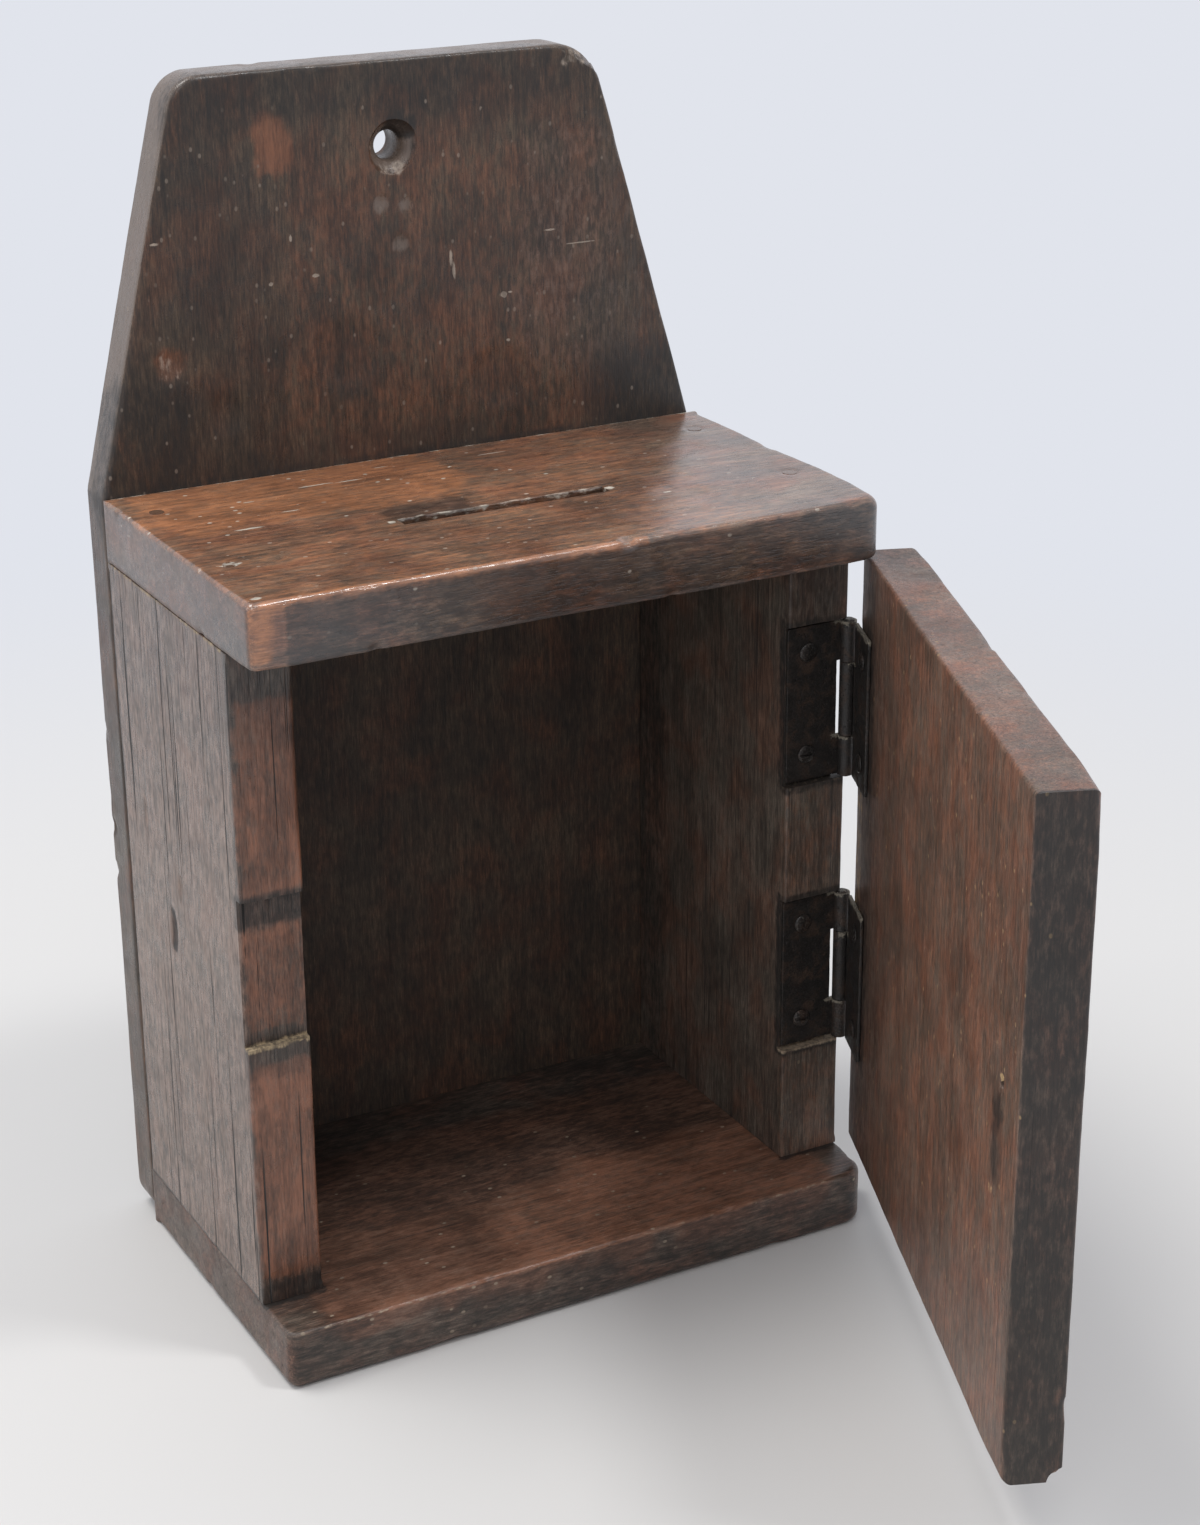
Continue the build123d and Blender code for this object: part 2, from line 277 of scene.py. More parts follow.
@dataclass
class WornBoard:
    """A flat board built as a fine closed mesh, its arrises worn and its faces not quite true."""

    name: str
    place: Place
    outline: Outline
    thickness: float
    arris: float
    seed: int
    spacing: float = 0.00105
    foot_arris: float | None = None
    butted: tuple[bool, bool] = (False, False)
    tight_arris: float = 0.00015
    joint_reach: tuple[float, float] = (0.0032, 0.001)
    arris_patch: float = 0.024
    hollow_size: float = 0.026
    wear_reach: float = 0.0022
    rub_reach: float = 0.0016
    patch_size: float = 0.011
    border: float = 0.014
    unevenness: float = 0.00018
    nibble: float = 0.00012
    nibble_size: float = 0.008
    chip_depth: float = 0.0006
    chip_level: float = 0.86
    end_rows: tuple[float, ...] = (0, 0.0003, 0.0006, 0.001, 0.0015, 0.0021, 0.0029)
    crowded_below: float = 0.012
    dents: list[Dent] = field(default_factory=list)
    rubs: list[Rub] = field(default_factory=list)
    bites: list[tuple[Point, float]] = field(default_factory=list)

    def stations(self, low: float, high: float) -> Array:
        """Places of the rows across one axis, close together at both ends.

        Args:
            low: First place.
            high: Last place.

        Returns:
            The places, rising.
        """
        ends = np.array(self.end_rows) * min(1.0, (high - low) / self.crowded_below)
        inner = high - low - 2 * ends[-1]
        count = max(2, round(inner / self.spacing))
        middle = low + ends[-1] + inner * np.arange(1, count) / count
        return np.concatenate([low + ends, middle, (high - ends)[::-1]])

    def lattice(self) -> tuple[Array, Array]:
        """The skin of a block of stations, bent to the outline.

        Returns:
            Points in the board's own axes, and four-sided faces that point outwards.
        """
        left, right = self.outline.chains()
        low_v, high_v = left[0, 1], left[-1, 1]
        width = max(right[:, 0]) - min(left[:, 0])
        across = self.stations(0, width) / width
        rows = self.stations(low_v, high_v)
        depths = self.stations(0, self.thickness)
        nu, nv, nw = len(across), len(rows), len(depths)
        index = np.full((nu, nv, nw), -1)
        skin = np.zeros((nu, nv, nw), bool)
        skin[[0, -1], :, :] = skin[:, [0, -1], :] = skin[:, :, [0, -1]] = True
        index[skin] = np.arange(skin.sum())
        i, j, k = np.nonzero(skin)
        s, v, w = across[i], rows[j], depths[k]
        start = np.interp(v, left[:, 1], left[:, 0])
        end = np.interp(v, right[:, 1], right[:, 0])
        flat = np.stack([start + (end - start) * s, v], axis=1)
        flat = self.turn_corners(flat, start, end, low_v, high_v)
        sides = [
            (index[0], False), (index[-1], True), (index[:, 0], True),
            (index[:, -1], False), (index[:, :, 0], False), (index[:, :, -1], True),
        ]
        faces = []
        for side, turned in sides:
            a, b, c, d = side[:-1, :-1], side[:-1, 1:], side[1:, 1:], side[1:, :-1]
            order = (a, d, c, b) if turned else (a, b, c, d)
            faces.append(np.stack([corner.ravel() for corner in order], axis=1))
        return np.column_stack([flat, w]), np.concatenate(faces)

    def turn_corners(
        self, flat: Array, start: Array, end: Array, low_v: float, high_v: float
    ) -> Array:
        """Draw the rows near each rounded corner in, so that they follow its arc.

        Args:
            flat: Points in the plane of the face.
            start: Where each point's row starts.
            end: Where each point's row ends.
            low_v: Lowest row.
            high_v: Highest row.

        Returns:
            The moved points.
        """
        corners, radii = np.array(self.outline.corners), self.outline.radii
        moved = flat.copy()
        for (u, v), radius in zip(corners, radii):
            if radius <= 0 or (v != low_v and v != high_v):
                continue
            on_right = u > (start.mean() + end.mean()) / 2
            from_side = (end - flat[:, 0]) if on_right else (flat[:, 0] - start)
            from_end = (high_v - flat[:, 1]) if v == high_v else (flat[:, 1] - low_v)
            a, b = radius - from_side, radius - from_end
            near = (a > 0) & (b > 0)
            size = np.maximum(np.hypot(a, b), 1e-9)
            pull = np.where(near, 1 - np.maximum(a, b) / size, 0)
            moved[:, 0] -= np.where(near, a * pull, 0) * (1 if on_right else -1)
            moved[:, 1] -= np.where(near, b * pull, 0) * (1 if v == high_v else -1)
        return moved

    def depth(self, local: Array) -> Array:
        """How far points lie outside the board's two faces, below 0 between them."""
        return np.abs(local[:, 2] - self.thickness / 2) - self.thickness / 2

    def at_joint(self, local: Array) -> Array:
        """How near points lie to the ends that butt against other boards.

        Args:
            local: Points in the board's own axes.

        Returns:
            1 at those ends, falling to 0 a few millimetres from them.
        """
        heights = np.array(self.outline.corners)[:, 1]
        joint = np.zeros(len(local))
        for meets, away in zip(self.butted, (local[:, 1] - heights.min(), heights.max() - local[:, 1])):
            if meets:
                joint = np.maximum(joint, step(away, *self.joint_reach))
        return joint

    def arris_at(self, local: Array) -> Array:
        """The arris radius near each point: the board's own, varied, and wider where it is rubbed.

        Args:
            local: Points in the board's own axes.

        Returns:
            The radii.
        """
        foot = self.arris if self.foot_arris is None else self.foot_arris
        share = step(local[:, 2] / self.thickness, 0.35, 0.65)
        varied = (foot + (self.arris - foot) * share) * (
            0.85 + 0.35 * self.noise.at(local, self.arris_patch)
        )
        for rub in self.rubs:
            away = np.linalg.norm(local - np.array(rub.point), axis=1)
            varied = varied + rub.extra * step(away, rub.reach, 0)
        joint = self.at_joint(local)
        return np.minimum(varied * (1 - joint) + self.tight_arris * joint, self.thickness * 0.45)

    def near_arris(self, local: Array, reach: float) -> Array:
        """1 along the board's arrises, falling to 0 past the reach given."""
        flat, deep = self.outline.distance(local[:, :2]), self.depth(local)
        return np.exp(-((np.hypot(np.minimum(flat, 0), np.minimum(deep, 0)) / reach) ** 2))

    def worn_away(self, local: Array) -> Array:
        """How much of the surface has gone at each point.

        Args:
            local: Points in the board's own axes.

        Returns:
            The depths.
        """
        gone = self.unevenness * self.noise.layered(local, self.hollow_size, 2)
        near = self.near_arris(local, self.wear_reach)
        ragged = self.noise.layered(local + NIBBLE_SHIFT, self.nibble_size, 3)
        gone += self.nibble * near * step(ragged, 0.35, 0.8)
        chips = self.noise.at(local + CHIP_SHIFT, self.nibble_size * 1.3)
        gone += self.chip_depth * near * step(chips, self.chip_level, 1.0)
        for dent in self.dents:
            away = np.hypot((local[:, 0] - dent.u), (local[:, 1] - dent.v) / dent.stretch)
            side = step(np.abs(local[:, 2] - dent.w), 0.003, 0.001)
            gone += dent.depth * step(away, dent.radius, dent.radius * 0.35) * side
        return gone * (1 - 0.85 * self.at_joint(local))

    def solid(self, local: Array, radius: Array) -> Array:
        """How far points lie outside the board.

        Args:
            local: Points in the board's own axes.
            radius: The arris radius near each point.

        Returns:
            The distances, below 0 inside the board.
        """
        flat, deep = self.outline.distance(local[:, :2]) + radius, self.depth(local) + radius
        outside = np.hypot(np.maximum(flat, 0), np.maximum(deep, 0))
        shape = np.minimum(np.maximum(flat, deep), 0) + outside - radius
        for centre, reach in self.bites:
            shape = np.maximum(shape, reach - np.linalg.norm(local - np.array(centre), axis=1))
        return shape

    def build(self) -> Piece:
        """Make the board.

        Returns:
            The board's object, at the origin, its place in its mesh.
        """
        self.noise = Roughcast(self.seed)
        local, faces = self.lattice()
        probe = 0.00004
        radius, gone = self.arris_at(local), self.worn_away(local)
        for _ in range(4):
            here = self.solid(local, radius)
            slope = np.stack(
                [self.solid(local + probe * axis, radius) - here for axis in np.eye(3)], axis=1
            ) / probe
            slope /= np.maximum((slope ** 2).sum(axis=1), 0.25)[:, None]
            local = local - slope * (here + gone + OUTWARD_ROOM)[:, None]
        return mesh_object(self.name, self.place.outward(local), faces)


def mesh_object(name: str, points: Array, faces: Sequence[Sequence[int]]) -> Piece:
    """Make an object from points and faces.

    Args:
        name: The object's name.
        points: Array of points in the frame of the box.
        faces: Corners of each face.

    Returns:
        The linked object.
    """
    mesh = bpy.data.meshes.new(name)
    mesh.from_pydata(points, [], faces)
    mesh.update()
    piece = bpy.data.objects.new(name, mesh)
    bpy.context.scene.collection.objects.link(piece)
    return piece


def settle(piece: Piece) -> None:
    """Turn what the modifiers make of a piece into its own plain mesh, and remove them.

    Args:
        piece: The object with its modifiers.
    """
    bpy.context.view_layer.update()
    graph = bpy.context.evaluated_depsgraph_get()
    made = bpy.data.meshes.new_from_object(piece.evaluated_get(graph), depsgraph=graph)
    piece.modifiers.clear()
    piece.data = made
    piece.data.name = piece.name


class Cut(Enum):
    """How one solid changes another."""

    AWAY = "DIFFERENCE"
    JOIN = "UNION"


def combine(piece: Piece, others: Sequence[Piece], cut: Cut) -> None:
    """Cut other solids from a piece, or join them to it. The others are used up.

    Args:
        piece: The object that is kept.
        others: Solids that change it.
        cut: Whether they are cut away or joined.
    """
    for other in others:
        change = piece.modifiers.new("change", "BOOLEAN")
        change.operation = cut.value
        change.solver = "MANIFOLD"
        change.object = other
    settle(piece)
    for other in others:
        bpy.data.objects.remove(other)


def ring_faces(rings: int, count: int) -> list[tuple[int, ...]]:
    """Faces of a solid that is stacked from rings of points, its ends closed.

    Args:
        rings: How many rings.
        count: Points in each ring.

    Returns:
        Corners of each face.
    """
    faces = []
    last = (rings - 1) * count
    for low in range(0, last, count):
        for k in range(count):
            after = (k + 1) % count
            faces.append((low + k, low + after, low + count + after, low + count + k))
    return faces + [tuple(reversed(range(count))), tuple(range(last, last + count))]


def tube(
    name: str, place: Place, profile: Sequence[tuple[float, float]], turns: int, wobble: float, seed: int
) -> Piece:
    """A turned solid about a place's w axis, its ends closed.

    Args:
        name: The object's name.
        place: Axes, with w along the axis of the turned solid.
        profile: Pairs of distance along w and radius, in order.
        turns: Faces round it.
        wobble: How far the radius wanders, as a share of it.
        seed: Seed of the wandering.

    Returns:
        The linked object.
    """
    noise = Roughcast(seed, 24)
    angles = [math.tau * k / turns for k in range(turns)]
    local = np.array([(r * math.cos(angle), r * math.sin(angle), w) for w, r in profile for angle in angles])
    scale = 1 + wobble * (noise.at(local, max(r for _, r in profile) * 0.7) - 0.5) * 2
    local[:, :2] *= scale[:, None]
    return mesh_object(name, place.outward(local), ring_faces(len(profile), turns))


def rough_box(
    name: str, low: Point, high: Point, spacing: float, jitter: float, seed: int
) -> Piece:
    """A cutter: a box with fine faces that wander.

    Args:
        name: The object's name.
        low: Lowest corner.
        high: Highest corner.
        spacing: Step between the points of its faces.
        jitter: How far the faces wander.
        seed: Seed of the wandering.

    Returns:
        The linked object.
    """
    size = np.array(high) - np.array(low)
    centre = (np.array(high) + np.array(low)) / 2
    shape = bmesh.new()
    bmesh.ops.create_cube(shape, size=1.0)
    for axis in range(3):
        cuts = max(0, min(200, round(size[axis] / spacing)) - 1)
        if cuts:
            along = [
                edge for edge in shape.edges
                if abs((edge.verts[0].co - edge.verts[1].co)[axis]) > 0.5 * edge.calc_length()
            ]
            bmesh.ops.subdivide_edges(shape, edges=along, cuts=cuts, use_grid_fill=True)
    points = np.array([vert.co for vert in shape.verts]) * size + centre
    noise = Roughcast(seed, 32)
    shift = np.stack(
        [noise.layered(points + 0.11 * axis, spacing * 2.5, 3) - 0.5 for axis in range(3)], axis=1
    )
    points = points + 2 * jitter * shift
    faces = [[vert.index for vert in face.verts] for face in shape.faces]
    shape.free()
    return mesh_object(name, points, faces)


def paint(piece: Piece, name: str, values: Array) -> None:
    """Store one number for each point of a piece, for its finish to read.

    Args:
        piece: The piece.
        name: The attribute's name.
        values: One number for each point.
    """
    layer = piece.data.attributes.new(name, "FLOAT", "POINT")
    layer.data.foreach_set("value", np.clip(values, 0, 1).astype(np.float32))


def points_of(piece: Piece) -> Array:
    """A piece's points.

    Args:
        piece: The piece.

    Returns:
        Array of its points.
    """
    flat = np.zeros(len(piece.data.vertices) * 3, np.float32)
    piece.data.vertices.foreach_get("co", flat)
    return flat.reshape(-1, 3).astype(float)


class Layer(Enum):
    """What is painted on a board's points for its finish to read."""

    # Arris wear, and painted sheen: lighter on the back board's edge faces and right part, and on the left
    # side's outer face
    WORN = "worn"
    # Dirt and dark joints, and painted shade: darker inside the box, in the slot and recess, under the top's
    # overhang and on the top's front face
    GRIME = "grime"
    PALE = "pale"
    POLISH = "polish"
    WARM = "warm"
    SPECKS = "specks"


WORN, GRIME, PALE, POLISH, WARM, SPECKS = Layer


@dataclass(frozen=True)
class Mark:
    """A stain, rub, pale bare or powdery place, painted shade or painted sheen: a box in the board's own
    axes, with a soft ragged rim.
    """

    layer: Layer
    low: Point
    high: Point
    soft: float
    strength: float = 1.0
    ragged: float = 0.5

    def at(self, local: Array, noise: Roughcast) -> Array:
        """The mark's strength at some points.

        Args:
            local: Points in the board's own axes.
            noise: What breaks its rim.

        Returns:
            The strengths.
        """
        outside = np.maximum(np.maximum(np.array(self.low) - local, local - np.array(self.high)), 0)
        inside = 1 - np.linalg.norm(outside, axis=1) / self.soft
        broken = self.ragged * (noise.layered(local + MARK_SHIFT, max(self.soft, 0.002) * 0.8, 3) - 0.5) * 1.6
        return self.strength * step(inside + broken, 0.15, 0.75) * step(inside, 0, 0.25)


def dress(
    board: WornBoard, piece: Piece, marks: Sequence[Mark], wear: float, soiled: float = 0.0
) -> None:
    """Paint a board's layers: wear along its arrises, its darker border, and its marks.

    Args:
        board: The board, for its outline and noise.
        piece: Its finished mesh.
        marks: What is painted beside the wear.
        wear: Strength of the wear along the arrises.
        soiled: Strength of the darker border inside its outline.
    """
    local = board.place.inward(points_of(piece))
    broken = board.noise.layered(local + WEAR_SHIFT, board.patch_size, 3)
    rubbed = wear * board.near_arris(local, board.rub_reach) * step(broken, 0.2, 0.75)
    layers = {layer: np.zeros(len(local)) for layer in Layer}
    layers[WORN] = rubbed * (1 - board.at_joint(local))
    layers[POLISH] = np.ones(len(local))
    inside = -board.outline.distance(local[:, :2])
    soil = soiled * step(inside, board.border, 0.0) * step(broken, 0.25, 0.6)
    layers[GRIME] = soil * step(inside, 0.0004, 0.002)
    for mark in marks:
        value = mark.at(local, board.noise)
        if mark.layer is POLISH:
            layers[mark.layer] *= 1 - value
        else:
            layers[mark.layer] = np.maximum(layers[mark.layer], value)
    for layer, values in layers.items():
        paint(piece, layer.value, values)


def opaque(colour: Colour | Socket) -> object:
    """A colour with its alpha, or the socket that gives one."""
    return colour if isinstance(colour, Socket) else (*colour, 1)


class NodeSketch:
    """A node tree, with a short way to add and feed its nodes."""

    def __init__(self, tree: bpy.types.NodeTree) -> None:
        """Keep the tree that nodes are added to."""
        self.tree = tree

    def feed(self, socket: Socket, value: object) -> None:
        """Link a socket to another, or set it to a plain value."""
        if isinstance(value, Socket):
            self.tree.links.new(value, socket)
        else:
            socket.default_value = value

    def add(
        self, kind: str, inputs: dict[str | int, object] | None = None, **settings: object
    ) -> bpy.types.Node:
        """Add a node.

        Args:
            kind: The node's type.
            inputs: What feeds its inputs, by name or place.
            settings: Its properties.

        Returns:
            The node.
        """
        node = self.tree.nodes.new(kind)
        for name, value in settings.items():
            setattr(node, name, value)
        for name, value in (inputs or {}).items():
            self.feed(node.inputs[name], value)
        return node

    def work(self, operation: str, first: Value, second: Value = 0.0) -> Socket:
        """Arithmetic on two values."""
        return self.add("ShaderNodeMath", {0: first, 1: second}, operation=operation).outputs[0]

    # The kinds of arithmetic that the trees use, each on two values
    plus = partialmethod(work, "ADD")
    less = partialmethod(work, "SUBTRACT")
    times = partialmethod(work, "MULTIPLY")
    most = partialmethod(work, "MAXIMUM")


class Recipe(NodeSketch):
    """A finish's node tree, with a short method for each kind of node that the finishes use."""

    def __init__(self, name: str) -> None:
        """Start a material with its own principled shader.

        Args:
            name: The material's name.
        """
        self.material = bpy.data.materials.new(name)
        self.material.use_nodes = True
        super().__init__(self.material.node_tree)
        self.shader = self.tree.nodes["Principled BSDF"]
        self.object_points = self.add("ShaderNodeTexCoord").outputs["Object"]

    def points(self, stretch: Point = (1, 1, 1), shift: Point = (0, 0, 0)) -> Socket:
        """Object coordinates, scaled along each axis and then shifted."""
        inputs = {"Vector": self.object_points, "Location": shift, "Scale": stretch}
        return self.add("ShaderNodeMapping", inputs, vector_type="POINT").outputs["Vector"]

    def noise(
        self, points: Socket, scale: float, detail: float, rough: float = 0.5, twist: float = 0.0
    ) -> Socket:
        """Smooth noise from 0 to 1."""
        inputs = {"Vector": points, "Scale": scale, "Detail": detail, "Roughness": rough, "Distortion": twist}
        return self.add("ShaderNodeTexNoise", inputs).outputs["Fac"]

    def length(self, points: Socket) -> Socket:
        """How far points lie from the origin."""
        return self.add("ShaderNodeVectorMath", {0: points}, operation="LENGTH").outputs["Value"]

    def cells(self, points: Socket, scale: float) -> tuple[Socket, Socket]:
        """Distance to the nearest of scattered points, and a random number for each point."""
        spots = self.add("ShaderNodeTexVoronoi", {"Vector": points, "Scale": scale}).outputs
        return spots["Distance"], self.add("ShaderNodeSeparateColor", {"Color": spots["Color"]}).outputs[0]

    def between(
        self, value: Value, low: float, high: float, start: float = 0.0, end: float = 1.0
    ) -> Socket:
        """Map a value smoothly from low and high to start and end, and hold it past them."""
        inputs = {"Value": value, "From Min": low, "From Max": high, "To Min": start, "To Max": end}
        return self.add("ShaderNodeMapRange", inputs, interpolation_type="SMOOTHSTEP").outputs["Result"]

    def mix(
        self, share: Value, first: Colour | Socket, second: Colour | Socket, blend: str = "MIX"
    ) -> Socket:
        """Mix two colours."""
        inputs = {0: share, 6: opaque(first), 7: opaque(second)}
        return self.add("ShaderNodeMix", inputs, data_type="RGBA", blend_type=blend).outputs[2]

    def ramp(self, share: Socket, stops: Sequence[tuple[float, Colour]]) -> Socket:
        """A colour from a row of stops.

        Args:
            share: Place along the row.
            stops: Places and colours, rising.

        Returns:
            The colour.
        """
        node = self.add("ShaderNodeValToRGB", {"Fac": share})
        row = node.color_ramp.elements
        row[0].position, row[0].color = stops[0][0], opaque(stops[0][1])
        row[1].position, row[1].color = stops[-1][0], opaque(stops[-1][1])
        for place, colour in stops[1:-1]:
            row.new(place).color = opaque(colour)
        return node.outputs["Color"]

    def grey(self, value: Socket) -> Socket:
        """A value as a grey colour."""
        return self.add("ShaderNodeCombineColor", {0: value, 1: value, 2: value}).outputs["Color"]

    def shaded(self, colour: Socket, value: Socket, *span: float) -> Socket:
        """A colour times a value that is mapped as between does it."""
        return self.mix(1.0, colour, self.grey(self.between(value, *span)), "MULTIPLY")

    def painted(self, layer: Layer) -> Socket:
        """A painted layer."""
        return self.add("ShaderNodeAttribute", attribute_name=layer.value).outputs["Fac"]

    def bump(self, height: Socket, distance: float, strength: float = 1.0) -> Socket:
        """A relief."""
        inputs = {"Height": height, "Distance": distance, "Strength": strength}
        return self.add("ShaderNodeBump", inputs).outputs["Normal"]

    def finish(self, colour: object, roughness: object, relief: Socket, **fixed: float) -> Material:
        """Feed the shader.

        Args:
            colour: Base colour.
            roughness: Roughness.
            relief: Normal.
            fixed: Other inputs of the shader, with underscores for spaces.

        Returns:
            The finished material.
        """
        self.feed(self.shader.inputs["Base Color"], colour)
        self.feed(self.shader.inputs["Roughness"], roughness)
        self.feed(self.shader.inputs["Normal"], relief)
        for name, value in fixed.items():
            self.shader.inputs[name.replace("_", " ")].default_value = value
        return self.material


@dataclass(frozen=True)
class Nick:
    """A small scratch or chip that shows pale wood: half its sizes about a place in the frame of the box."""

    centre: Point
    half: Point


@dataclass(frozen=True)
class WoodFinish:
    """Dark old hardwood, waxed where hands reach it and matt where they don't."""

    name: str
    grain: Grain
    shift: Point
    dark: Colour
    middle: Colour
    light: Colour
    warm: Colour = (0.2, 0.07, 0.026)
    worn: Colour = (0.165, 0.078, 0.045)
    pale: Colour = (0.46, 0.38, 0.28)
    # Near black: pores, open grain and dirt, and painted shade where the layer says
    grime: Colour = (0.012, 0.011, 0.01)
    olive: Colour = (0.88, 1.0, 1.03)
    reddish: Colour = (1.18, 0.93, 0.84)
    open_grain: float = 0.0
    smooth: float = 0.3
    rough: float = 0.62
    gloss: float = 0.5
    coat: float = 0.0
    coat_rough: float = 0.28
    relief: float = 0.00015
    blotch_scale: float = 46
    hue_scale: float = 72
    cloud_scale: float = 75
    speck_scale: float = 390
    streak_scale: float = 560
    crack_scale: float = 640
    line_scale: float = 1300
    fibre_scale: float = 1900
    pore_scale: float = 2300
    nicks: tuple[Nick, ...] = ()

    def along(self, share: float) -> Point:
        """Stretch of a pattern that runs with the grain."""
        return (share, 1, 1) if self.grain is Grain.ALONG_X else (1, 1, share)

    def material(self) -> Material:
        """Make the finish.

        Returns:
            The material.
        """
        r = Recipe(self.name)

        def grained(share: float, *noise: float) -> Socket:
            """Noise that is drawn out along the grain."""
            return r.noise(r.points(self.along(share), self.shift), *noise)

        blotch = grained(0.75, self.blotch_scale, 5, 0.66, 0.5)
        hue = grained(0.7, self.hue_scale, 4, 0.62, 0.4)
        streak = grained(0.05, self.streak_scale, 3, 0.6, 0.1)
        fibre = grained(0.12, self.fibre_scale, 2, 0.65)
        grit = grained(1, self.pore_scale, 2, 0.6)
        pores = r.between(grained(0.09, self.pore_scale, 1, 0.5), 0.58, 0.68)
        crack = grained(0.013, self.crack_scale, 2, 0.5)
        low, high = (edge - 0.07 * self.open_grain for edge in (0.7, 0.76))
        opened = r.between(crack, low, high, 0, self.open_grain)
        line = grained(0.022, self.line_scale, 2, 0.6)
        lines = r.between(line, 0.5, 0.66, 0, 0.62 * self.open_grain)

        tone = r.plus(r.times(blotch, 0.45), r.times(streak, 0.29))
        tone = r.plus(tone, r.times(fibre, 0.26))
        colour = r.ramp(tone, ((0.39, self.dark), (0.5, self.middle), (0.61, self.light)))
        tint = r.ramp(hue, ((0.38, self.olive), (0.5, (1, 1, 1)), (0.63, self.reddish)))
        colour = r.mix(1.0, colour, tint, "MULTIPLY")
        colour = r.shaded(colour, fibre, 0.25, 0.75, 0.8, 1.17)
        colour = r.shaded(colour, grit, 0.25, 0.75, 0.84, 1.15)
        colour = r.mix(r.times(pores, 0.4), colour, self.grime)
        ragged = grained(0.35, self.streak_scale, 4, 0.68)

        def masked(layer: Layer, low: float, high: float) -> Socket:
            """A painted layer with its rim broken by fine noise."""
            broken = r.plus(r.painted(layer), r.between(ragged, 0.3, 0.7, -0.24, 0.24))
            return r.times(r.between(broken, low, high), r.between(r.painted(layer), 0.0, 0.12))

        warm = r.times(masked(WARM, 0.1, 1.0), 0.85)
        worn = masked(WORN, 0.25, 1.0)
        grime = masked(GRIME, 0.1, 1.0)
        pale = masked(PALE, 0.25, 0.85)
        for nick in self.nicks:
            shift = tuple(-c / h for c, h in zip(nick.centre, nick.half))
            away = r.length(r.points(tuple(1 / h for h in nick.half), shift))
            broken = r.plus(away, r.between(ragged, 0.3, 0.7, -0.35, 0.35))
            pale = r.most(pale, r.between(broken, 1.05, 0.65))
        warmth = r.grey(r.between(tone, 0.38, 0.62, 0.55, 1.45))
        colour = r.mix(warm, colour, r.mix(1.0, warmth, self.warm, "MULTIPLY"))
        # Lighter where the wear layer says: rubbed arrises, and painted sheen on some faces
        colour = r.mix(r.times(worn, 0.8), colour, self.worn)
        # Darker where the dirt and painted-shade layer says
        colour = r.mix(r.times(grime, 0.9), colour, self.grime)
        lines = r.times(lines, r.between(r.painted(WARM), 0.1, 0.6, 1.0, 0.15))
        colour = r.mix(r.most(opened, lines), colour, self.grime)
        near, lot = r.cells(r.points(self.along(0.7), self.shift), self.speck_scale)
        specks = r.times(r.between(near, 0.25, 0.12), r.between(lot, 0.8, 0.9))
        pale_all = r.most(pale, r.times(specks, r.painted(SPECKS)))
        paleness = r.grey(r.between(ragged, 0.3, 0.7, 0.55, 1.15))
        colour = r.mix(pale_all, colour, r.mix(1.0, paleness, self.pale, "MULTIPLY"))

        cloud = grained(1, self.cloud_scale, 4, 0.6, 0.8)
        waxed = r.between(cloud, 0.3, 0.7, self.smooth - 0.05, self.smooth + 0.11)
        waxed = r.less(waxed, r.times(r.painted(WORN), 0.06))
        share = r.painted(POLISH)
        roughness = r.plus(r.times(waxed, share), r.times(r.less(1.0, share), self.rough))
        dull = r.most(pale_all, r.times(grime, 0.3))
        roughness = r.plus(roughness, r.times(dull, 0.35))
        roughness = r.plus(roughness, r.times(opened, 0.4))

        height = r.plus(r.times(fibre, 0.35), r.times(streak, 0.4))
        height = r.less(height, r.times(pores, 0.25))
        height = r.less(height, r.plus(opened, r.times(lines, 0.5)))
        height = r.less(height, r.times(pale, 0.3))
        return r.finish(
            colour, roughness, r.bump(height, self.relief),
            Specular_IOR_Level=self.gloss, Coat_Weight=self.coat, Coat_Roughness=self.coat_rough,
        )


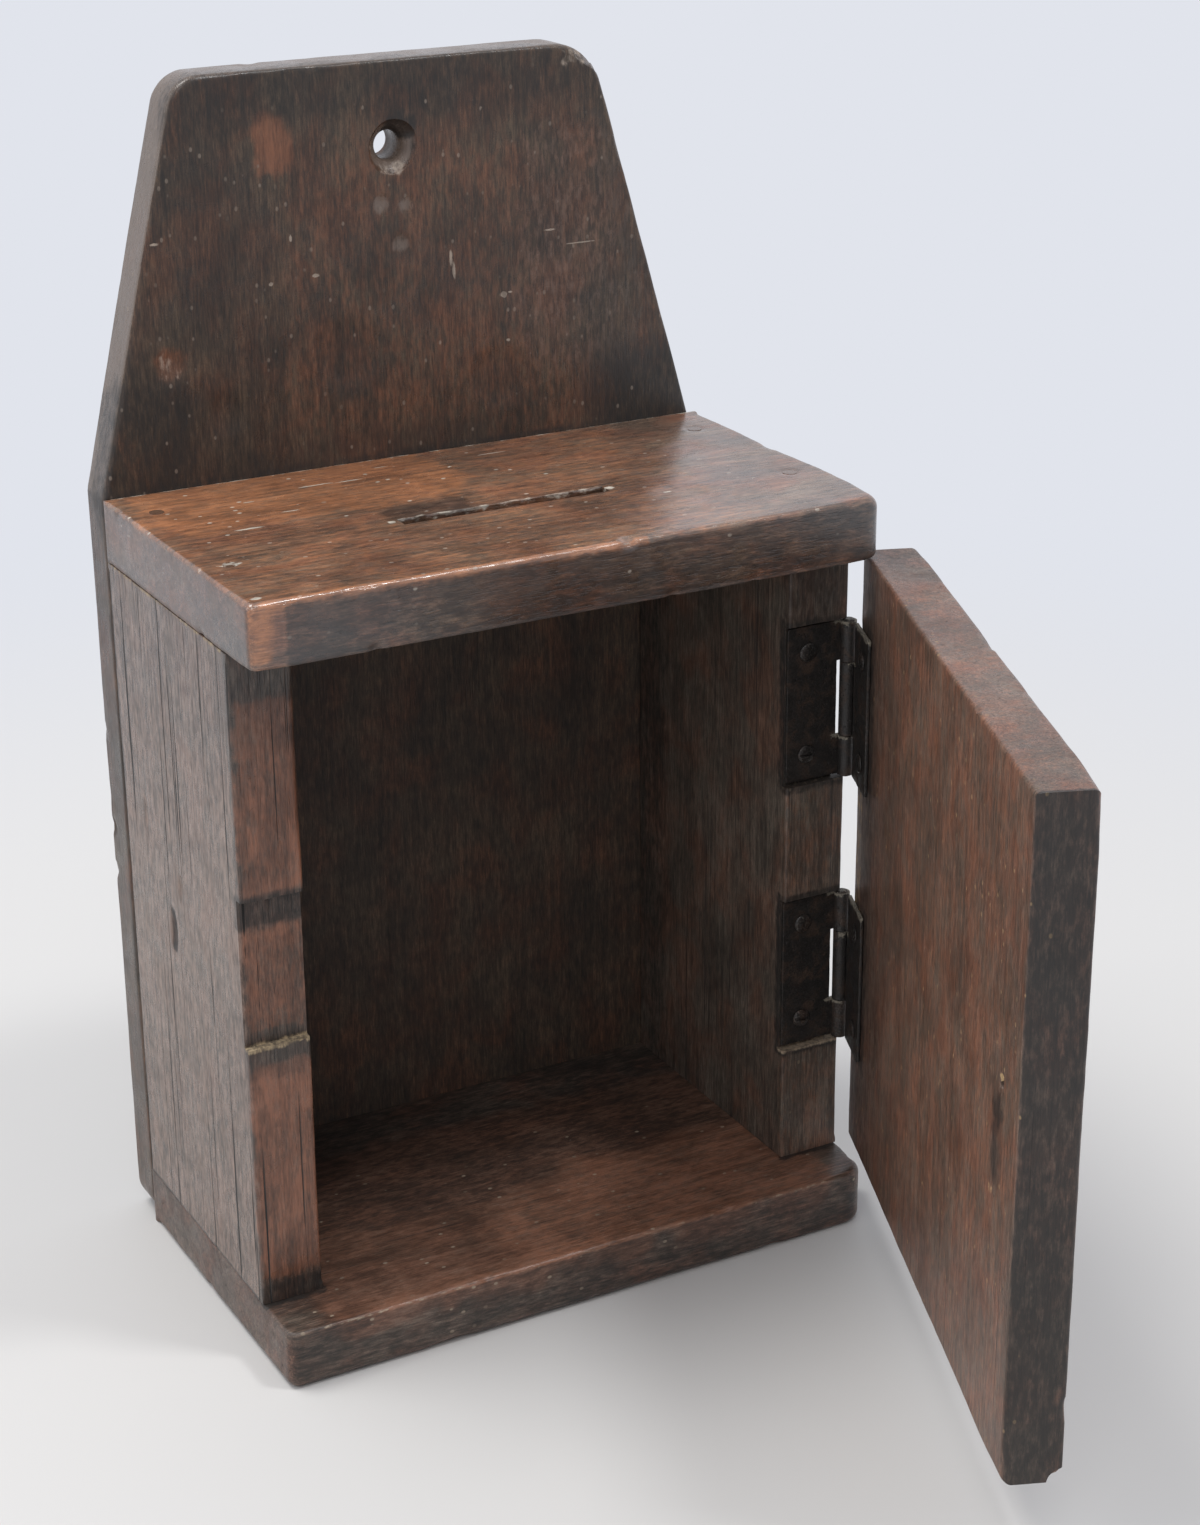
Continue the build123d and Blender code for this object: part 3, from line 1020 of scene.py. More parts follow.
@dataclass(frozen=True)
class IronFinish:
    """Old pressed iron: nearly black, browned in patches and rubbed along its edges."""

    name: str
    shift: Point = (0, 0, 0)
    black: Colour = (0.03, 0.027, 0.025)
    brown: Colour = (0.058, 0.038, 0.028)
    bare: Colour = (0.15, 0.14, 0.13)
    # Pale colour of dust, and of painted light on upward tops
    dust_and_highlight: Colour = (0.27, 0.24, 0.19)
    pit: Colour = (0.012, 0.009, 0.008)
    rough: float = 0.5
    metal: float = 0.4
    relief: float = 0.00012
    patch_scale: float = 190
    pit_scale: float = 900
    grit_scale: float = 1700

    def material(self) -> Material:
        """Make the finish.

        Returns:
            The material.
        """
        r = Recipe(self.name)
        patch = r.noise(r.points(shift=self.shift), self.patch_scale, 4, 0.62, 0.6)
        grit = r.noise(r.points(shift=self.shift), self.grit_scale, 3, 0.6)
        pits = r.between(r.noise(r.points(shift=self.shift), self.pit_scale, 2), 0.62, 0.72)
        colour = r.mix(r.between(patch, 0.45, 0.68), self.black, self.brown)
        colour = r.shaded(colour, grit, 0.3, 0.7, 0.7, 1.3)
        colour = r.mix(r.times(pits, 0.6), colour, self.pit)
        rubbed = r.plus(r.painted(WORN), r.between(grit, 0.3, 0.7, -0.25, 0.25))
        colour = r.mix(r.times(r.between(rubbed, 0.35, 0.95), 0.7), colour, self.bare)
        # Pale where the pale layer says: dust, and painted light on the knuckle and pin tops
        pale_share = r.plus(r.painted(PALE), r.between(grit, 0.3, 0.7, -0.3, 0.3))
        pale_share = r.times(r.between(pale_share, 0.3, 0.9), r.between(r.painted(PALE), 0.0, 0.1))
        colour = r.mix(pale_share, colour, self.dust_and_highlight)
        roughness = r.between(patch, 0.35, 0.7, self.rough - 0.08, self.rough + 0.14)
        roughness = r.plus(roughness, r.times(pale_share, 0.3))
        height = r.plus(r.less(r.times(grit, 0.5), pits), r.times(patch, 0.8))
        relief = r.bump(height, self.relief)
        return r.finish(colour, roughness, relief, Metallic=self.metal, Specular_IOR_Level=0.5)


@dataclass(frozen=True)
class StoppingFinish:
    """Old filler over a sunk nail head, darkened by wax."""

    name: str = "stopping"
    fresh: Colour = (0.34, 0.3, 0.25)
    stained: Colour = (0.125, 0.066, 0.039)
    smooth: float = 0.24
    relief: float = 0.00006
    patch_scale: float = 420
    grit_scale: float = 2400

    def material(self) -> Material:
        """Make the finish.

        Returns:
            The material.
        """
        r = Recipe(self.name)
        patch = r.noise(r.points(), self.patch_scale, 3, 0.6)
        grit = r.noise(r.points(), self.grit_scale, 2, 0.6)
        shown = r.times(r.between(patch, 0.4, 0.56), r.painted(PALE))
        colour = r.shaded(r.mix(shown, self.stained, self.fresh), grit, 0.3, 0.7, 0.75, 1.2)
        rough = r.plus(self.smooth, r.times(shown, 0.4))
        return r.finish(colour, rough, r.bump(grit, self.relief), Specular_IOR_Level=1.0, Coat_Weight=0.3)


class FastenerTree(NodeSketch):
    """A geometry tree for fasteners, with named inputs for their sizes."""

    # Faces round a shank, and the radius of its tip
    sides = 14
    blunt = 0.0001

    def __init__(self, name: str, sizes: dict[str, float]) -> None:
        """Start the tree.

        Args:
            name: The tree's name.
            sizes: Named sizes and their values.
        """
        super().__init__(bpy.data.node_groups.new(name, "GeometryNodeTree"))
        self.start, self.end = self.add("NodeGroupInput"), self.add("NodeGroupOutput")
        self.sizes = sizes
        self.declare("Geometry", "Geometry")
        for size in sizes:
            self.declare(size, "Float")
        self.declare("Seed", "Int")
        self.declare("Finish", "Material")
        self.declare("Geometry", "Geometry", "OUTPUT")

    def declare(self, name: str, kind: str, direction: str = "INPUT") -> None:
        """Give the tree an input or an output."""
        self.tree.interface.new_socket(name=name, in_out=direction, socket_type=f"NodeSocket{kind}")

    def size(self, name: str) -> Socket:
        """One of the tree's named inputs."""
        return self.start.outputs[name]

    def spot(self, x: Value = 0.0, y: Value = 0.0, z: Value = 0.0) -> Socket:
        """A vector of three numbers."""
        return self.add("ShaderNodeCombineXYZ", {0: x, 1: y, 2: z}).outputs[0]

    def moved(self, shape: Socket, **inputs: object) -> Socket:
        """A shape moved, turned or scaled."""
        return self.add("GeometryNodeTransform", {"Geometry": shape, **inputs}).outputs["Geometry"]

    def shank(self, top: float, length: Socket) -> Socket:
        """A round shank with a point, from a height downwards.

        Args:
            top: Height of its top.
            length: Its length with the point.

        Returns:
            The shank.
        """
        radius, point = self.size("Shank Radius"), self.size("Point Length")
        straight = self.less(length, point)
        rod = self.add(
            "GeometryNodeMeshCylinder", {"Vertices": self.sides, "Radius": radius, "Depth": straight}
        )
        middle = self.less(top, self.times(straight, 0.5))
        rod = self.moved(rod.outputs["Mesh"], Translation=self.spot(z=middle))
        tip = self.add(
            "GeometryNodeMeshCone",
            {"Vertices": self.sides, "Radius Top": self.blunt, "Radius Bottom": radius, "Depth": point},
        )
        foot = self.spot(z=self.less(top, straight))
        tip = self.moved(tip.outputs["Mesh"], Rotation=(math.pi, 0, 0), Translation=foot)
        return self.joined(rod, tip)

    def joined(self, *shapes: Socket) -> Socket:
        """Several shapes as one.

        Args:
            shapes: The shapes.

        Returns:
            The shape that they make.
        """
        node = self.add("GeometryNodeJoinGeometry")
        for shape in shapes:
            self.feed(node.inputs[0], shape)
        return node.outputs[0]

    def place(self, unit: Socket, wander: float, grit: float) -> None:
        """Put the unit at each point, facing as the point's attribute says, and roughen the copies.

        Args:
            unit: The fastener, its head's seat at the origin and its head up.
            wander: How far its surface wanders.
            grit: Scale of the wandering.
        """
        facing = self.add("GeometryNodeInputNamedAttribute", {"Name": "facing"}, data_type="FLOAT_VECTOR")
        aligned = self.add("FunctionNodeAlignRotationToVector", {"Vector": facing.outputs[0]}, axis="Z")
        turn = self.add(
            "FunctionNodeRandomValue", {2: -math.pi, 3: math.pi, "Seed": self.size("Seed")}, data_type="FLOAT"
        )
        spin = self.add("FunctionNodeAxisAngleToRotation", {"Axis": (0, 0, 1), "Angle": turn.outputs[1]})
        turned = self.add(
            "FunctionNodeRotateRotation",
            {"Rotation": aligned.outputs[0], "Rotate By": spin.outputs[0]}, rotation_space="LOCAL",
        )
        placed = self.add(
            "GeometryNodeInstanceOnPoints",
            {"Points": self.size("Geometry"), "Instance": unit, "Rotation": turned.outputs[0]},
        )
        solid = self.add("GeometryNodeRealizeInstances", {"Geometry": placed.outputs[0]}).outputs[0]
        rough = self.add("ShaderNodeTexNoise", {"Scale": grit, "Detail": 2.0}).outputs["Color"]
        centred = self.add("ShaderNodeVectorMath", {0: rough, 1: (0.5, 0.5, 0.5)}, operation="SUBTRACT")
        scaled = self.add("ShaderNodeVectorMath", {0: centred.outputs[0], "Scale": wander}, operation="SCALE")
        shaped = self.add("GeometryNodeSetPosition", {"Geometry": solid, "Offset": scaled.outputs[0]})
        finished = self.add(
            "GeometryNodeSetMaterial", {"Geometry": shaped.outputs[0], "Material": self.size("Finish")}
        )
        self.feed(self.end.inputs[0], finished.outputs[0])

    def grow(
        self, name: str, points: Sequence[Point], facing: Point, finish: Material, seed: int
    ) -> Piece:
        """Make the fasteners at some points as one plain mesh.

        Args:
            name: The object's name.
            points: Where their heads sit.
            facing: Which way their heads face.
            finish: Their material.
            seed: Seed of their turns.

        Returns:
            The object.
        """
        piece = mesh_object(name, np.array(points), [])
        layer = piece.data.attributes.new("facing", "FLOAT_VECTOR", "POINT")
        layer.data.foreach_set("vector", np.tile(np.array(facing, np.float32), len(points)))
        growth = piece.modifiers.new("growth", "NODES")
        growth.node_group = self.tree
        for item in self.tree.interface.items_tree:
            if item.in_out != "INPUT":
                continue
            if item.name in self.sizes:
                growth[item.identifier] = float(self.sizes[item.name])
            elif item.name == "Seed":
                growth[item.identifier] = seed
            elif item.name == "Finish":
                growth[item.identifier] = finish
        settle(piece)
        paint(piece, WORN.value, np.full(len(piece.data.vertices), 0.35))
        return piece


def screw_tree() -> FastenerTree:
    """The tree of the hinge screws: low dome, worn slot, shank and point.

    Returns:
        The tree.
    """
    tree = FastenerTree("hinge_screws", {
        "Head Radius": 0.003, "Head Height": 0.001, "Slot Width": 0.0007, "Slot Depth": 0.00045,
        "Shank Radius": 0.0015, "Point Length": 0.004, "Length": 0.012,
    })
    radius, height = tree.size("Head Radius"), tree.size("Head Height")
    ball = tree.add("GeometryNodeMeshUVSphere", {"Segments": 28, "Rings": 18, "Radius": 1.0})
    dome = tree.moved(ball.outputs["Mesh"], Scale=tree.spot(radius, radius, height))
    wide = tree.times(radius, 3.0)
    under = tree.add("GeometryNodeMeshCube", {"Size": tree.spot(wide, wide, radius)}).outputs["Mesh"]
    under = tree.moved(under, Translation=tree.spot(z=tree.times(radius, -0.5)))
    slot_size = tree.spot(tree.size("Slot Width"), wide, tree.times(tree.size("Slot Depth"), 2.0))
    slot = tree.add("GeometryNodeMeshCube", {"Size": slot_size}).outputs["Mesh"]
    slot = tree.moved(slot, Translation=tree.spot(z=height))
    cutter = tree.add("GeometryNodeMeshBoolean", {"Mesh 1": dome}, operation="DIFFERENCE")
    tree.feed(cutter.inputs["Mesh 2"], under)
    tree.feed(cutter.inputs["Mesh 2"], slot)
    shank = tree.shank(0.0, tree.size("Length"))
    tree.place(tree.joined(cutter.outputs["Mesh"], shank), wander=0.00014, grit=700.0)
    return tree


def nail_tree() -> FastenerTree:
    """The tree of the nails: flat hammered head, shank and point.

    Returns:
        The tree.
    """
    tree = FastenerTree("board_nails", {
        "Head Radius": 0.0023, "Head Thickness": 0.001, "Shank Radius": 0.0012,
        "Point Length": 0.003, "Length": 0.038,
    })
    radius, thick = tree.size("Head Radius"), tree.size("Head Thickness")
    head = tree.add("GeometryNodeMeshCone", {
        "Vertices": 20, "Side Segments": 3, "Fill Segments": 3,
        "Radius Top": tree.times(radius, 0.86), "Radius Bottom": radius, "Depth": thick,
    }).outputs["Mesh"]
    head = tree.moved(head, Translation=tree.spot(z=tree.times(thick, -1.18)))
    shank = tree.shank(-0.0005, tree.size("Length"))
    tree.place(tree.joined(head, shank), wander=0.00022, grit=520.0)
    return tree


def stopping_tree() -> FastenerTree:
    """The tree of the stoppings: short ragged plugs.

    Returns:
        The tree.
    """
    tree = FastenerTree("nail_stoppings", {"Radius": 0.0022, "Depth": 0.001, "Sunk": 0.00024})
    plug = tree.add("GeometryNodeMeshCylinder", {
        "Vertices": 24, "Side Segments": 3, "Fill Segments": 4,
        "Radius": tree.size("Radius"), "Depth": tree.size("Depth"),
    }).outputs["Mesh"]
    middle = tree.plus(tree.times(tree.size("Depth"), 0.5), tree.size("Sunk"))
    plug = tree.moved(plug, Translation=tree.spot(z=tree.times(middle, -1.0)))
    tree.place(plug, wander=0.00012, grit=420.0)
    return tree


def hand_over(piece: Piece, node: str, body: Body, finish: Material) -> None:
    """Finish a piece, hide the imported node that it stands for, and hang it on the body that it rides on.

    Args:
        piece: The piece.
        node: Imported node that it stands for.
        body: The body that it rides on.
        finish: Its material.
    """
    piece.data.materials.clear()
    piece.data.materials.append(finish)
    piece.data.polygons.foreach_set("material_index", np.zeros(len(piece.data.polygons), np.int32))
    piece.data.shade_smooth()
    piece.data.set_sharp_from_angle(angle=SHARP_FOLD)
    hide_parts(node)
    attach(piece, body.value)
    piece.data.calc_loop_triangles()
    log.info("%s: %d triangles", piece.name, len(piece.data.loop_triangles))


@dataclass(frozen=True)
class Plan:
    """Planes and places of the letter box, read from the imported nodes."""

    left: float
    right: float
    wall: float
    back_face: float
    side_front: float
    top_front: float
    bottom_front: float
    bottom_top: float
    top_under: float
    top: float
    height: float
    left_inner: float
    right_inner: float
    pin: tuple[float, float]
    open_angle: float

    @classmethod
    def read(cls, joints: Sequence[dict]) -> "Plan":
        """Read the planes from the boards' boxes, and the pin's line and the door's angle from its joint.

        Args:
            joints: The frame's joints.

        Returns:
            The plan.
        """
        back_low, back_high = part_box("back_board")
        top_low, top_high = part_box("top_board")
        bottom_low, bottom_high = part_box("bottom_board")
        left_low, left_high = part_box("left_side")
        right_low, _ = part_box("right_side")
        swing = next(joint for joint in joints if joint["name"] == "door_swing")
        return cls(
            left=back_low.x, right=back_high.x, wall=back_high.y, back_face=back_low.y,
            side_front=left_low.y, top_front=top_low.y, bottom_front=bottom_low.y,
            bottom_top=bottom_high.z, top_under=top_low.z, top=top_high.z, height=back_high.z,
            left_inner=left_high.x, right_inner=right_low.x,
            pin=(swing["pos_m"][0], swing["pos_m"][1]), open_angle=-math.radians(swing["range_deg"][0]),
        )


@dataclass
class Carcass:
    """The five fixed boards."""

    plan: Plan
    nailing: "Nailing"
    slot_length: float = 0.0665
    slot_width: float = 0.0052
    slot_forward: float = 0.0625
    hole_left: float = 0.0034
    hole_drop: float = 0.0255
    hole_radius: float = 0.00425
    mouth_radius: float = 0.008
    mouth_depth: float = 0.0045
    back_top_left: float = 0.071
    back_top_right: float = 0.0635
    shoulder_drop: float = 0.008
    top_left_radius: float = 0.011
    top_right_radius: float = 0.017
    foot_radius: float = 0.009
    recess_sill: float = 0.1025
    recess_height: float = 0.046
    recess_depth: float = 0.003
    hinge_clearance: float = 0.0009
    relief_width: float = 0.0032
    relief_depth: float = 0.008
    top_radii: tuple[float, ...] = (0.0025, 0.006, 0, 0)
    bottom_radii: tuple[float, ...] = (0.0035, 0.008, 0, 0)
    flare_width: float = 0.0006
    flare_depth: float = 0.0007
    dimple_radius: float = 0.0042
    dimple_depth: float = 0.00035
    dimple_reach: float = 0.0016
    cut_margin: float = 0.004

    def back(self) -> None:
        """Build the tapered back board and its hanging hole."""
        p = self.plan
        place = Place((0, p.wall, 0), (1, 0, 0), (0, 0, 1))
        w = p.wall - p.back_face
        outline = Outline(
            (
                (p.left, 0), (p.right, 0), (p.right, p.top - self.shoulder_drop),
                (self.back_top_right, p.height), (-self.back_top_left, p.height), (p.left, p.top),
            ),
            (self.foot_radius, self.foot_radius, 0, self.top_right_radius, self.top_left_radius, 0),
        )
        dents = [
            Dent(-0.008, 0.319, 0.0032, 0.0006, w), Dent(0.0005, 0.318, 0.003, 0.0005, w),
            Dent(-0.002, 0.3065, 0.0034, 0.0005, w), Dent(-0.077, 0.278, 0.006, 0.0003, w),
            Dent(-0.06, 0.262, 0.008, 0.00025, w), Dent(0.03, 0.262, 0.012, 0.0003, w),
            Dent(-0.02, 0.275, 0.014, 0.0003, w),
        ]
        board = WornBoard(
            "worn_back_board", place, outline, w, arris=0.0015, spacing=0.00165, seed=11,
            foot_arris=0.001, unevenness=0.00016, nibble=0.00014, nibble_size=0.011,
            dents=dents + self.nail_dimples(place, 0.0),
            rubs=[
                Rub((-0.072, 0.352, w), 0.03, 0.0008), Rub((0.055, 0.358, w), 0.02, 0.0008),
                Rub((p.left, 0.2, w), 0.05, 0.0006), Rub((p.left, 0.1, 0), 0.08, 0.0008),
            ],
            bites=[
                ((p.left - 0.0038, 0.133, 0.002), 0.005), ((p.left - 0.0042, 0.118, 0.0), 0.0054),
                ((p.left - 0.0062, 0.165, 0.0), 0.0068), ((0.0585, 0.3612, w + 0.0012), 0.0026),
            ],
        )
        piece = board.build()
        u, v = -self.hole_left, p.height - self.hole_drop
        bore = Place((u, p.wall, v), (1, 0, 0), (0, 0, 1))
        lip = w - self.mouth_depth
        hole, mouth = self.hole_radius, self.mouth_radius
        profile = [
            (-0.002, hole * 1.02), (lip * 0.5, hole), (lip, hole * 1.03), (lip + 0.0012, hole * 1.22),
            (lip + 0.0028, mouth * 0.82), (w - 0.0006, mouth * 0.97), (w + 0.0004, mouth * 1.06),
            (w + 0.003, mouth * 1.12),
        ]
        combine(piece, [tube("hole_cutter", bore, profile, 44, 0.07, 5)], Cut.AWAY)
        marks = [
            Mark(WARM, (-0.044, 0.336, w), (-0.04, 0.343, w), 0.009, 0.9, 0.45),
            Mark(WARM, (0.057, 0.326, w), (0.06, 0.333, w), 0.009, 0.5, 0.6),
            Mark(WARM, (-0.02, 0.255, w), (0.05, 0.32, w), 0.034, 0.34, 0.7),
            Mark(WARM, (-0.078, 0.277, w), (-0.076, 0.279, w), 0.0064, 0.7, 0.5),
            Mark(PALE, (-0.078, 0.277, w), (-0.076, 0.279, w), 0.0056, 0.46, 0.6),
            Mark(PALE, (u - 0.004, v - 0.0074, w - 0.003), (u + 0.003, v - 0.006, w), 0.002, 0.5, 0.6),
            Mark(WORN, (-0.008, 0.319, w), (-0.008, 0.319, w), 0.0046, 1.0, 0.2),
            Mark(WORN, (0.0005, 0.318, w), (0.0005, 0.318, w), 0.0044, 0.95, 0.2),
            Mark(WORN, (-0.002, 0.3065, w), (-0.002, 0.3065, w), 0.0048, 0.85, 0.2),
            # Painted sheen: the back board's edge faces above the top painted lighter grey, as the bright
            # reflection they catch
            Mark(WORN, (p.left, p.top, 0.0012), (p.right, p.height, w - 0.0014), 0.0012, 1.0, 0.1),
            # Painted sheen: the right part of the back board's face painted lighter
            Mark(WORN, (0.05, 0.272, w), (0.08, 0.33, w), 0.026, 0.36, 0.4),
            Mark(PALE, (0.0545, 0.356, w - 0.002), (0.061, 0.3585, w), 0.0026, 0.48, 0.9),
            Mark(GRIME, (u - 0.001, v + 0.003, w - 0.005), (u + 0.006, v + 0.008, w), 0.003, 0.9, 0.5),
            Mark(GRIME, (p.left, p.top, w), (p.right, p.top + 0.0006, w), 0.0022, 0.7, 0.8),
            Mark(GRIME, (-0.075, 0.351, w), (0.05, p.height, w), 0.013, 0.5, 0.6),
            Mark(GRIME, (0.078, 0.24, w), (p.right, 0.25, w), 0.034, 0.66, 0.25),
            Mark(GRIME, (p.left, p.top, w), (-0.084, 0.265, w), 0.022, 0.62, 0.4),
            Mark(GRIME, (p.left, p.top, w), (0.02, p.top + 0.004, w), 0.012, 0.45, 0.8),
            # Painted shade: the back board's face inside the box painted darker
            Mark(GRIME, (p.left_inner, p.bottom_top, w), (p.right_inner, p.top_under, w), 0.003, 0.36, 0.4),
            Mark(
                POLISH, (p.left_inner, p.bottom_top, w - 0.0006), (p.right_inner, p.top_under, w),
                0.003, 1.0, 0.1,
            ),
            Mark(POLISH, (p.left, 0, 0), (p.right, p.height, 0), 0.002, 0.8, 0.2),
            Mark(SPECKS, (p.left, p.top, w), (p.right, 0.34, w), 0.02, 0.4, 0.9),
        ]
        dress(board, piece, marks, 0.42, soiled=0.5)
        nicks = [
            (-0.0795, 0.3145, 0.0015, 0.0006), (-0.0372, 0.3118, 0.0005, 0.0013),
            (-0.0298, 0.3, 0.0013, 0.0007), (0.0146, 0.301, 0.0006, 0.003),
            (0.0156, 0.2966, 0.0006, 0.0026), (0.0322, 0.2872, 0.0013, 0.0009),
            (0.0345, 0.2878, 0.001, 0.0005), (0.0485, 0.3055, 0.0024, 0.0004),
            (0.0335, 0.273, 0.0008, 0.0006), (0.059, 0.3005, 0.006, 0.00025),
            (-0.044, 0.299, 0.0008, 0.0006),
        ]
        finish = WoodFinish(
            "back_wood", Grain.ALONG_Z, shift=(0.31, 0.1, 0.0), dark=(0.03, 0.0195, 0.0135),
            middle=(0.062, 0.037, 0.0235), light=(0.108, 0.065, 0.04), warm=(0.175, 0.07, 0.036),
            # The worn colour also gives the painted sheen of the edge faces and of the right part
            worn=(0.18, 0.138, 0.112), pale=(0.38, 0.31, 0.25), smooth=0.28, open_grain=0.2,
            nicks=tuple(Nick((x, p.back_face, z), (a, 0.002, b)) for x, z, a, b in nicks),
        )
        hand_over(piece, "back_board", Body.CARCASS, finish.material())

    def nail_dimples(self, place: Place, w: float) -> list[Dent]:
        """Shallow dimples where the nail heads of a board show on one of its faces.

        Args:
            place: The board's axes.
            w: Which of its two faces, as its place through the thickness.

        Returns:
            The dimples.
        """
        dimples = []
        for spots, _ in self.nailing.groups().values():
            for spot in spots:
                local = place.inward(np.array([spot]))[0]
                if abs(local[2] - w) < self.dimple_reach:
                    dimples.append(Dent(local[0], local[1], self.dimple_radius, self.dimple_depth, w))
        return dimples

    def top(self) -> None:
        """Build the top board and its letter slot."""
        p = self.plan
        front, rear = p.top_front, p.back_face
        place = Place((0, 0, p.top_under), (1, 0, 0), (0, 1, 0))
        w = p.top - p.top_under
        outline = Outline.rectangle(p.left, front, p.right, rear, self.top_radii)
        slot_v = rear - self.slot_forward
        dents = [
            Dent(0.015, front + 0.001, 0.003, 0.0009, w),
            Dent(-0.055, 0.02, 0.01, 0.0003, w), Dent(0.05, -0.03, 0.012, 0.00035, w),
            Dent(-0.02, -0.045, 0.009, 0.0003, w), Dent(0.075, 0.01, 0.011, 0.0003, w),
            Dent(-0.052, 0.012, 0.0016, 0.0004, w, stretch=0.35),
            Dent(-0.066, 0.024, 0.0014, 0.0003, w, stretch=0.3),
        ]
        board = WornBoard(
            "worn_top_board", place, outline, w, arris=0.0014, seed=23,
            foot_arris=0.0006, butted=(False, True), nibble_size=0.007,
            dents=dents + self.nail_dimples(place, w),
            rubs=[
                Rub((p.left, front, w), 0.02, 0.0012), Rub((p.right, front, w), 0.022, 0.0026),
                Rub((p.left, front, 0), 0.012, 0.0006), Rub((p.right, 0.0, w), 0.03, 0.0008),
                Rub((0.0, front, w), 0.05, 0.0005), Rub((p.right, front, 0), 0.02, 0.0012),
            ],
            bites=[((p.right + 0.003, front + 0.004, w + 0.0022), 0.0048)],
        )
        piece = board.build()
        half_length, half_width = self.slot_length / 2, self.slot_width / 2
        slot = rough_box(
            "slot_cutter", (-half_length, slot_v - half_width, p.top_under - self.cut_margin),
            (half_length, slot_v + half_width, p.top + self.cut_margin),
            spacing=0.0011, jitter=0.00018, seed=31,
        )
        flare = self.slot_flare(slot_v, half_length, half_width)
        combine(piece, [slot, flare], Cut.AWAY)
        rear_wall = slot_v + half_width
        marks = [
            Mark(WARM, (-0.098, -0.055, w), (0.05, 0.045, w), 0.03, 0.36, 0.6),
            Mark(WARM, (-0.085, 0.016, w), (-0.01, 0.046, w), 0.022, 0.72, 0.6),
            Mark(WARM, (p.left + 0.002, front, 0.005), (p.left + 0.004, front, 0.016), 0.0055, 0.7, 0.6),
            Mark(
                WARM, (p.left + 0.004, front - 0.001, w - 0.002), (0.02, front + 0.001, w),
                0.0016, 0.8, 0.5,
            ),
            Mark(GRIME, (-0.031, rear_wall + 0.002, w), (-0.012, rear_wall + 0.007, w), 0.009, 0.7, 0.5),
            # Painted shade: the slot's walls painted darker
            Mark(GRIME, (-0.034, slot_v, 0.0), (0.034, slot_v, w - 0.004), 0.0032, 0.95, 0.3),
            # Painted shade: the top board's front face painted darker than its top
            Mark(GRIME, (p.left + 0.012, front, 0.0), (p.right, front, w - 0.003), 0.003, 0.72, 0.35),
            Mark(GRIME, (p.left, front + 0.002, 0.0), (p.left, rear, w - 0.002), 0.0018, 0.58, 0.25),
            Mark(PALE, (p.left, rear, w), (p.right, rear, w), 0.0013, 0.52, 0.6),
            Mark(PALE, (-0.033, rear_wall, w - 0.0009), (0.033, rear_wall + 0.0002, w), 0.0008, 0.46, 0.9),
            Mark(SPECKS, (-0.095, 0.005, w), (0.02, 0.047, w), 0.02, 1.0, 0.6),
            Mark(SPECKS, (-0.095, -0.06, w), (0.09, 0.02, w), 0.02, 0.45, 0.9),
            Mark(POLISH, (p.left, front, 0), (p.right, rear, 0), 0.002, 0.9, 0.2),
        ]
        dress(board, piece, marks, 0.6)
        nicks = [
            (0.0346, slot_v + 0.0004, 0.0019, 0.0014), (-0.0358, slot_v + 0.0012, 0.0013, 0.001),
            (-0.0057, rear_wall, 0.0015, 0.0009), (-0.04, 0.0322, 0.006, 0.0005),
            (-0.029, 0.0314, 0.006, 0.0004), (-0.0735, 0.0015, 0.004, 0.0007),
            (-0.0905, -0.0262, 0.0042, 0.001), (0.015, front, 0.0024, 0.0013),
            (-0.0955, front + 0.0046, 0.0017, 0.0012), (-0.056, 0.012, 0.003, 0.0004),
            (0.021, 0.037, 0.005, 0.0003), (-0.015, 0.04, 0.003, 0.0003),
            (0.048, -0.025, 0.0016, 0.0006), (-0.064, 0.026, 0.0022, 0.0003),
        ]
        finish = WoodFinish(
            "top_wood", Grain.ALONG_X, shift=(0.0, 0.47, 0.2), dark=(0.074, 0.044, 0.031),
            middle=(0.152, 0.086, 0.057), light=(0.255, 0.147, 0.094), warm=(0.38, 0.155, 0.066),
            worn=(0.3, 0.13, 0.08), pale=(0.6, 0.54, 0.45), smooth=0.2, gloss=0.95, open_grain=0.1,
            coat=0.3,
            nicks=tuple(Nick((x, y, p.top), (a, b, 0.0016)) for x, y, a, b in nicks),
        )
        hand_over(piece, "top_board", Body.CARCASS, finish.material())

    def slot_flare(self, slot_v: float, half_length: float, half_width: float) -> Piece:
        """The worn mouth of the slot, as a cutter: a shallow wedge along it.

        Args:
            slot_v: The slot's middle, from front to rear.
            half_length: Half its length.
            half_width: Half its width.

        Returns:
            The cutter.
        """
        p = self.plan
        wide, deep = self.flare_width, self.flare_depth
        low = (-half_length - wide, slot_v - half_width - wide, p.top - deep)
        high = (half_length + wide, slot_v + half_width + wide, p.top + deep)
        flare = rough_box("flare_cutter", low, high, spacing=0.0011, jitter=0.00012, seed=37)
        points = points_of(flare)
        share = np.clip((p.top + 0.0002 - points[:, 2]) / deep, 0, 1)
        centre = np.array([0, slot_v])
        half = np.array([half_length + wide, half_width + wide])
        points[:, :2] = centre + (points[:, :2] - centre) * (1 - share[:, None] * wide * 1.4 / half)
        flare.data.vertices.foreach_set("co", points.ravel())
        return flare

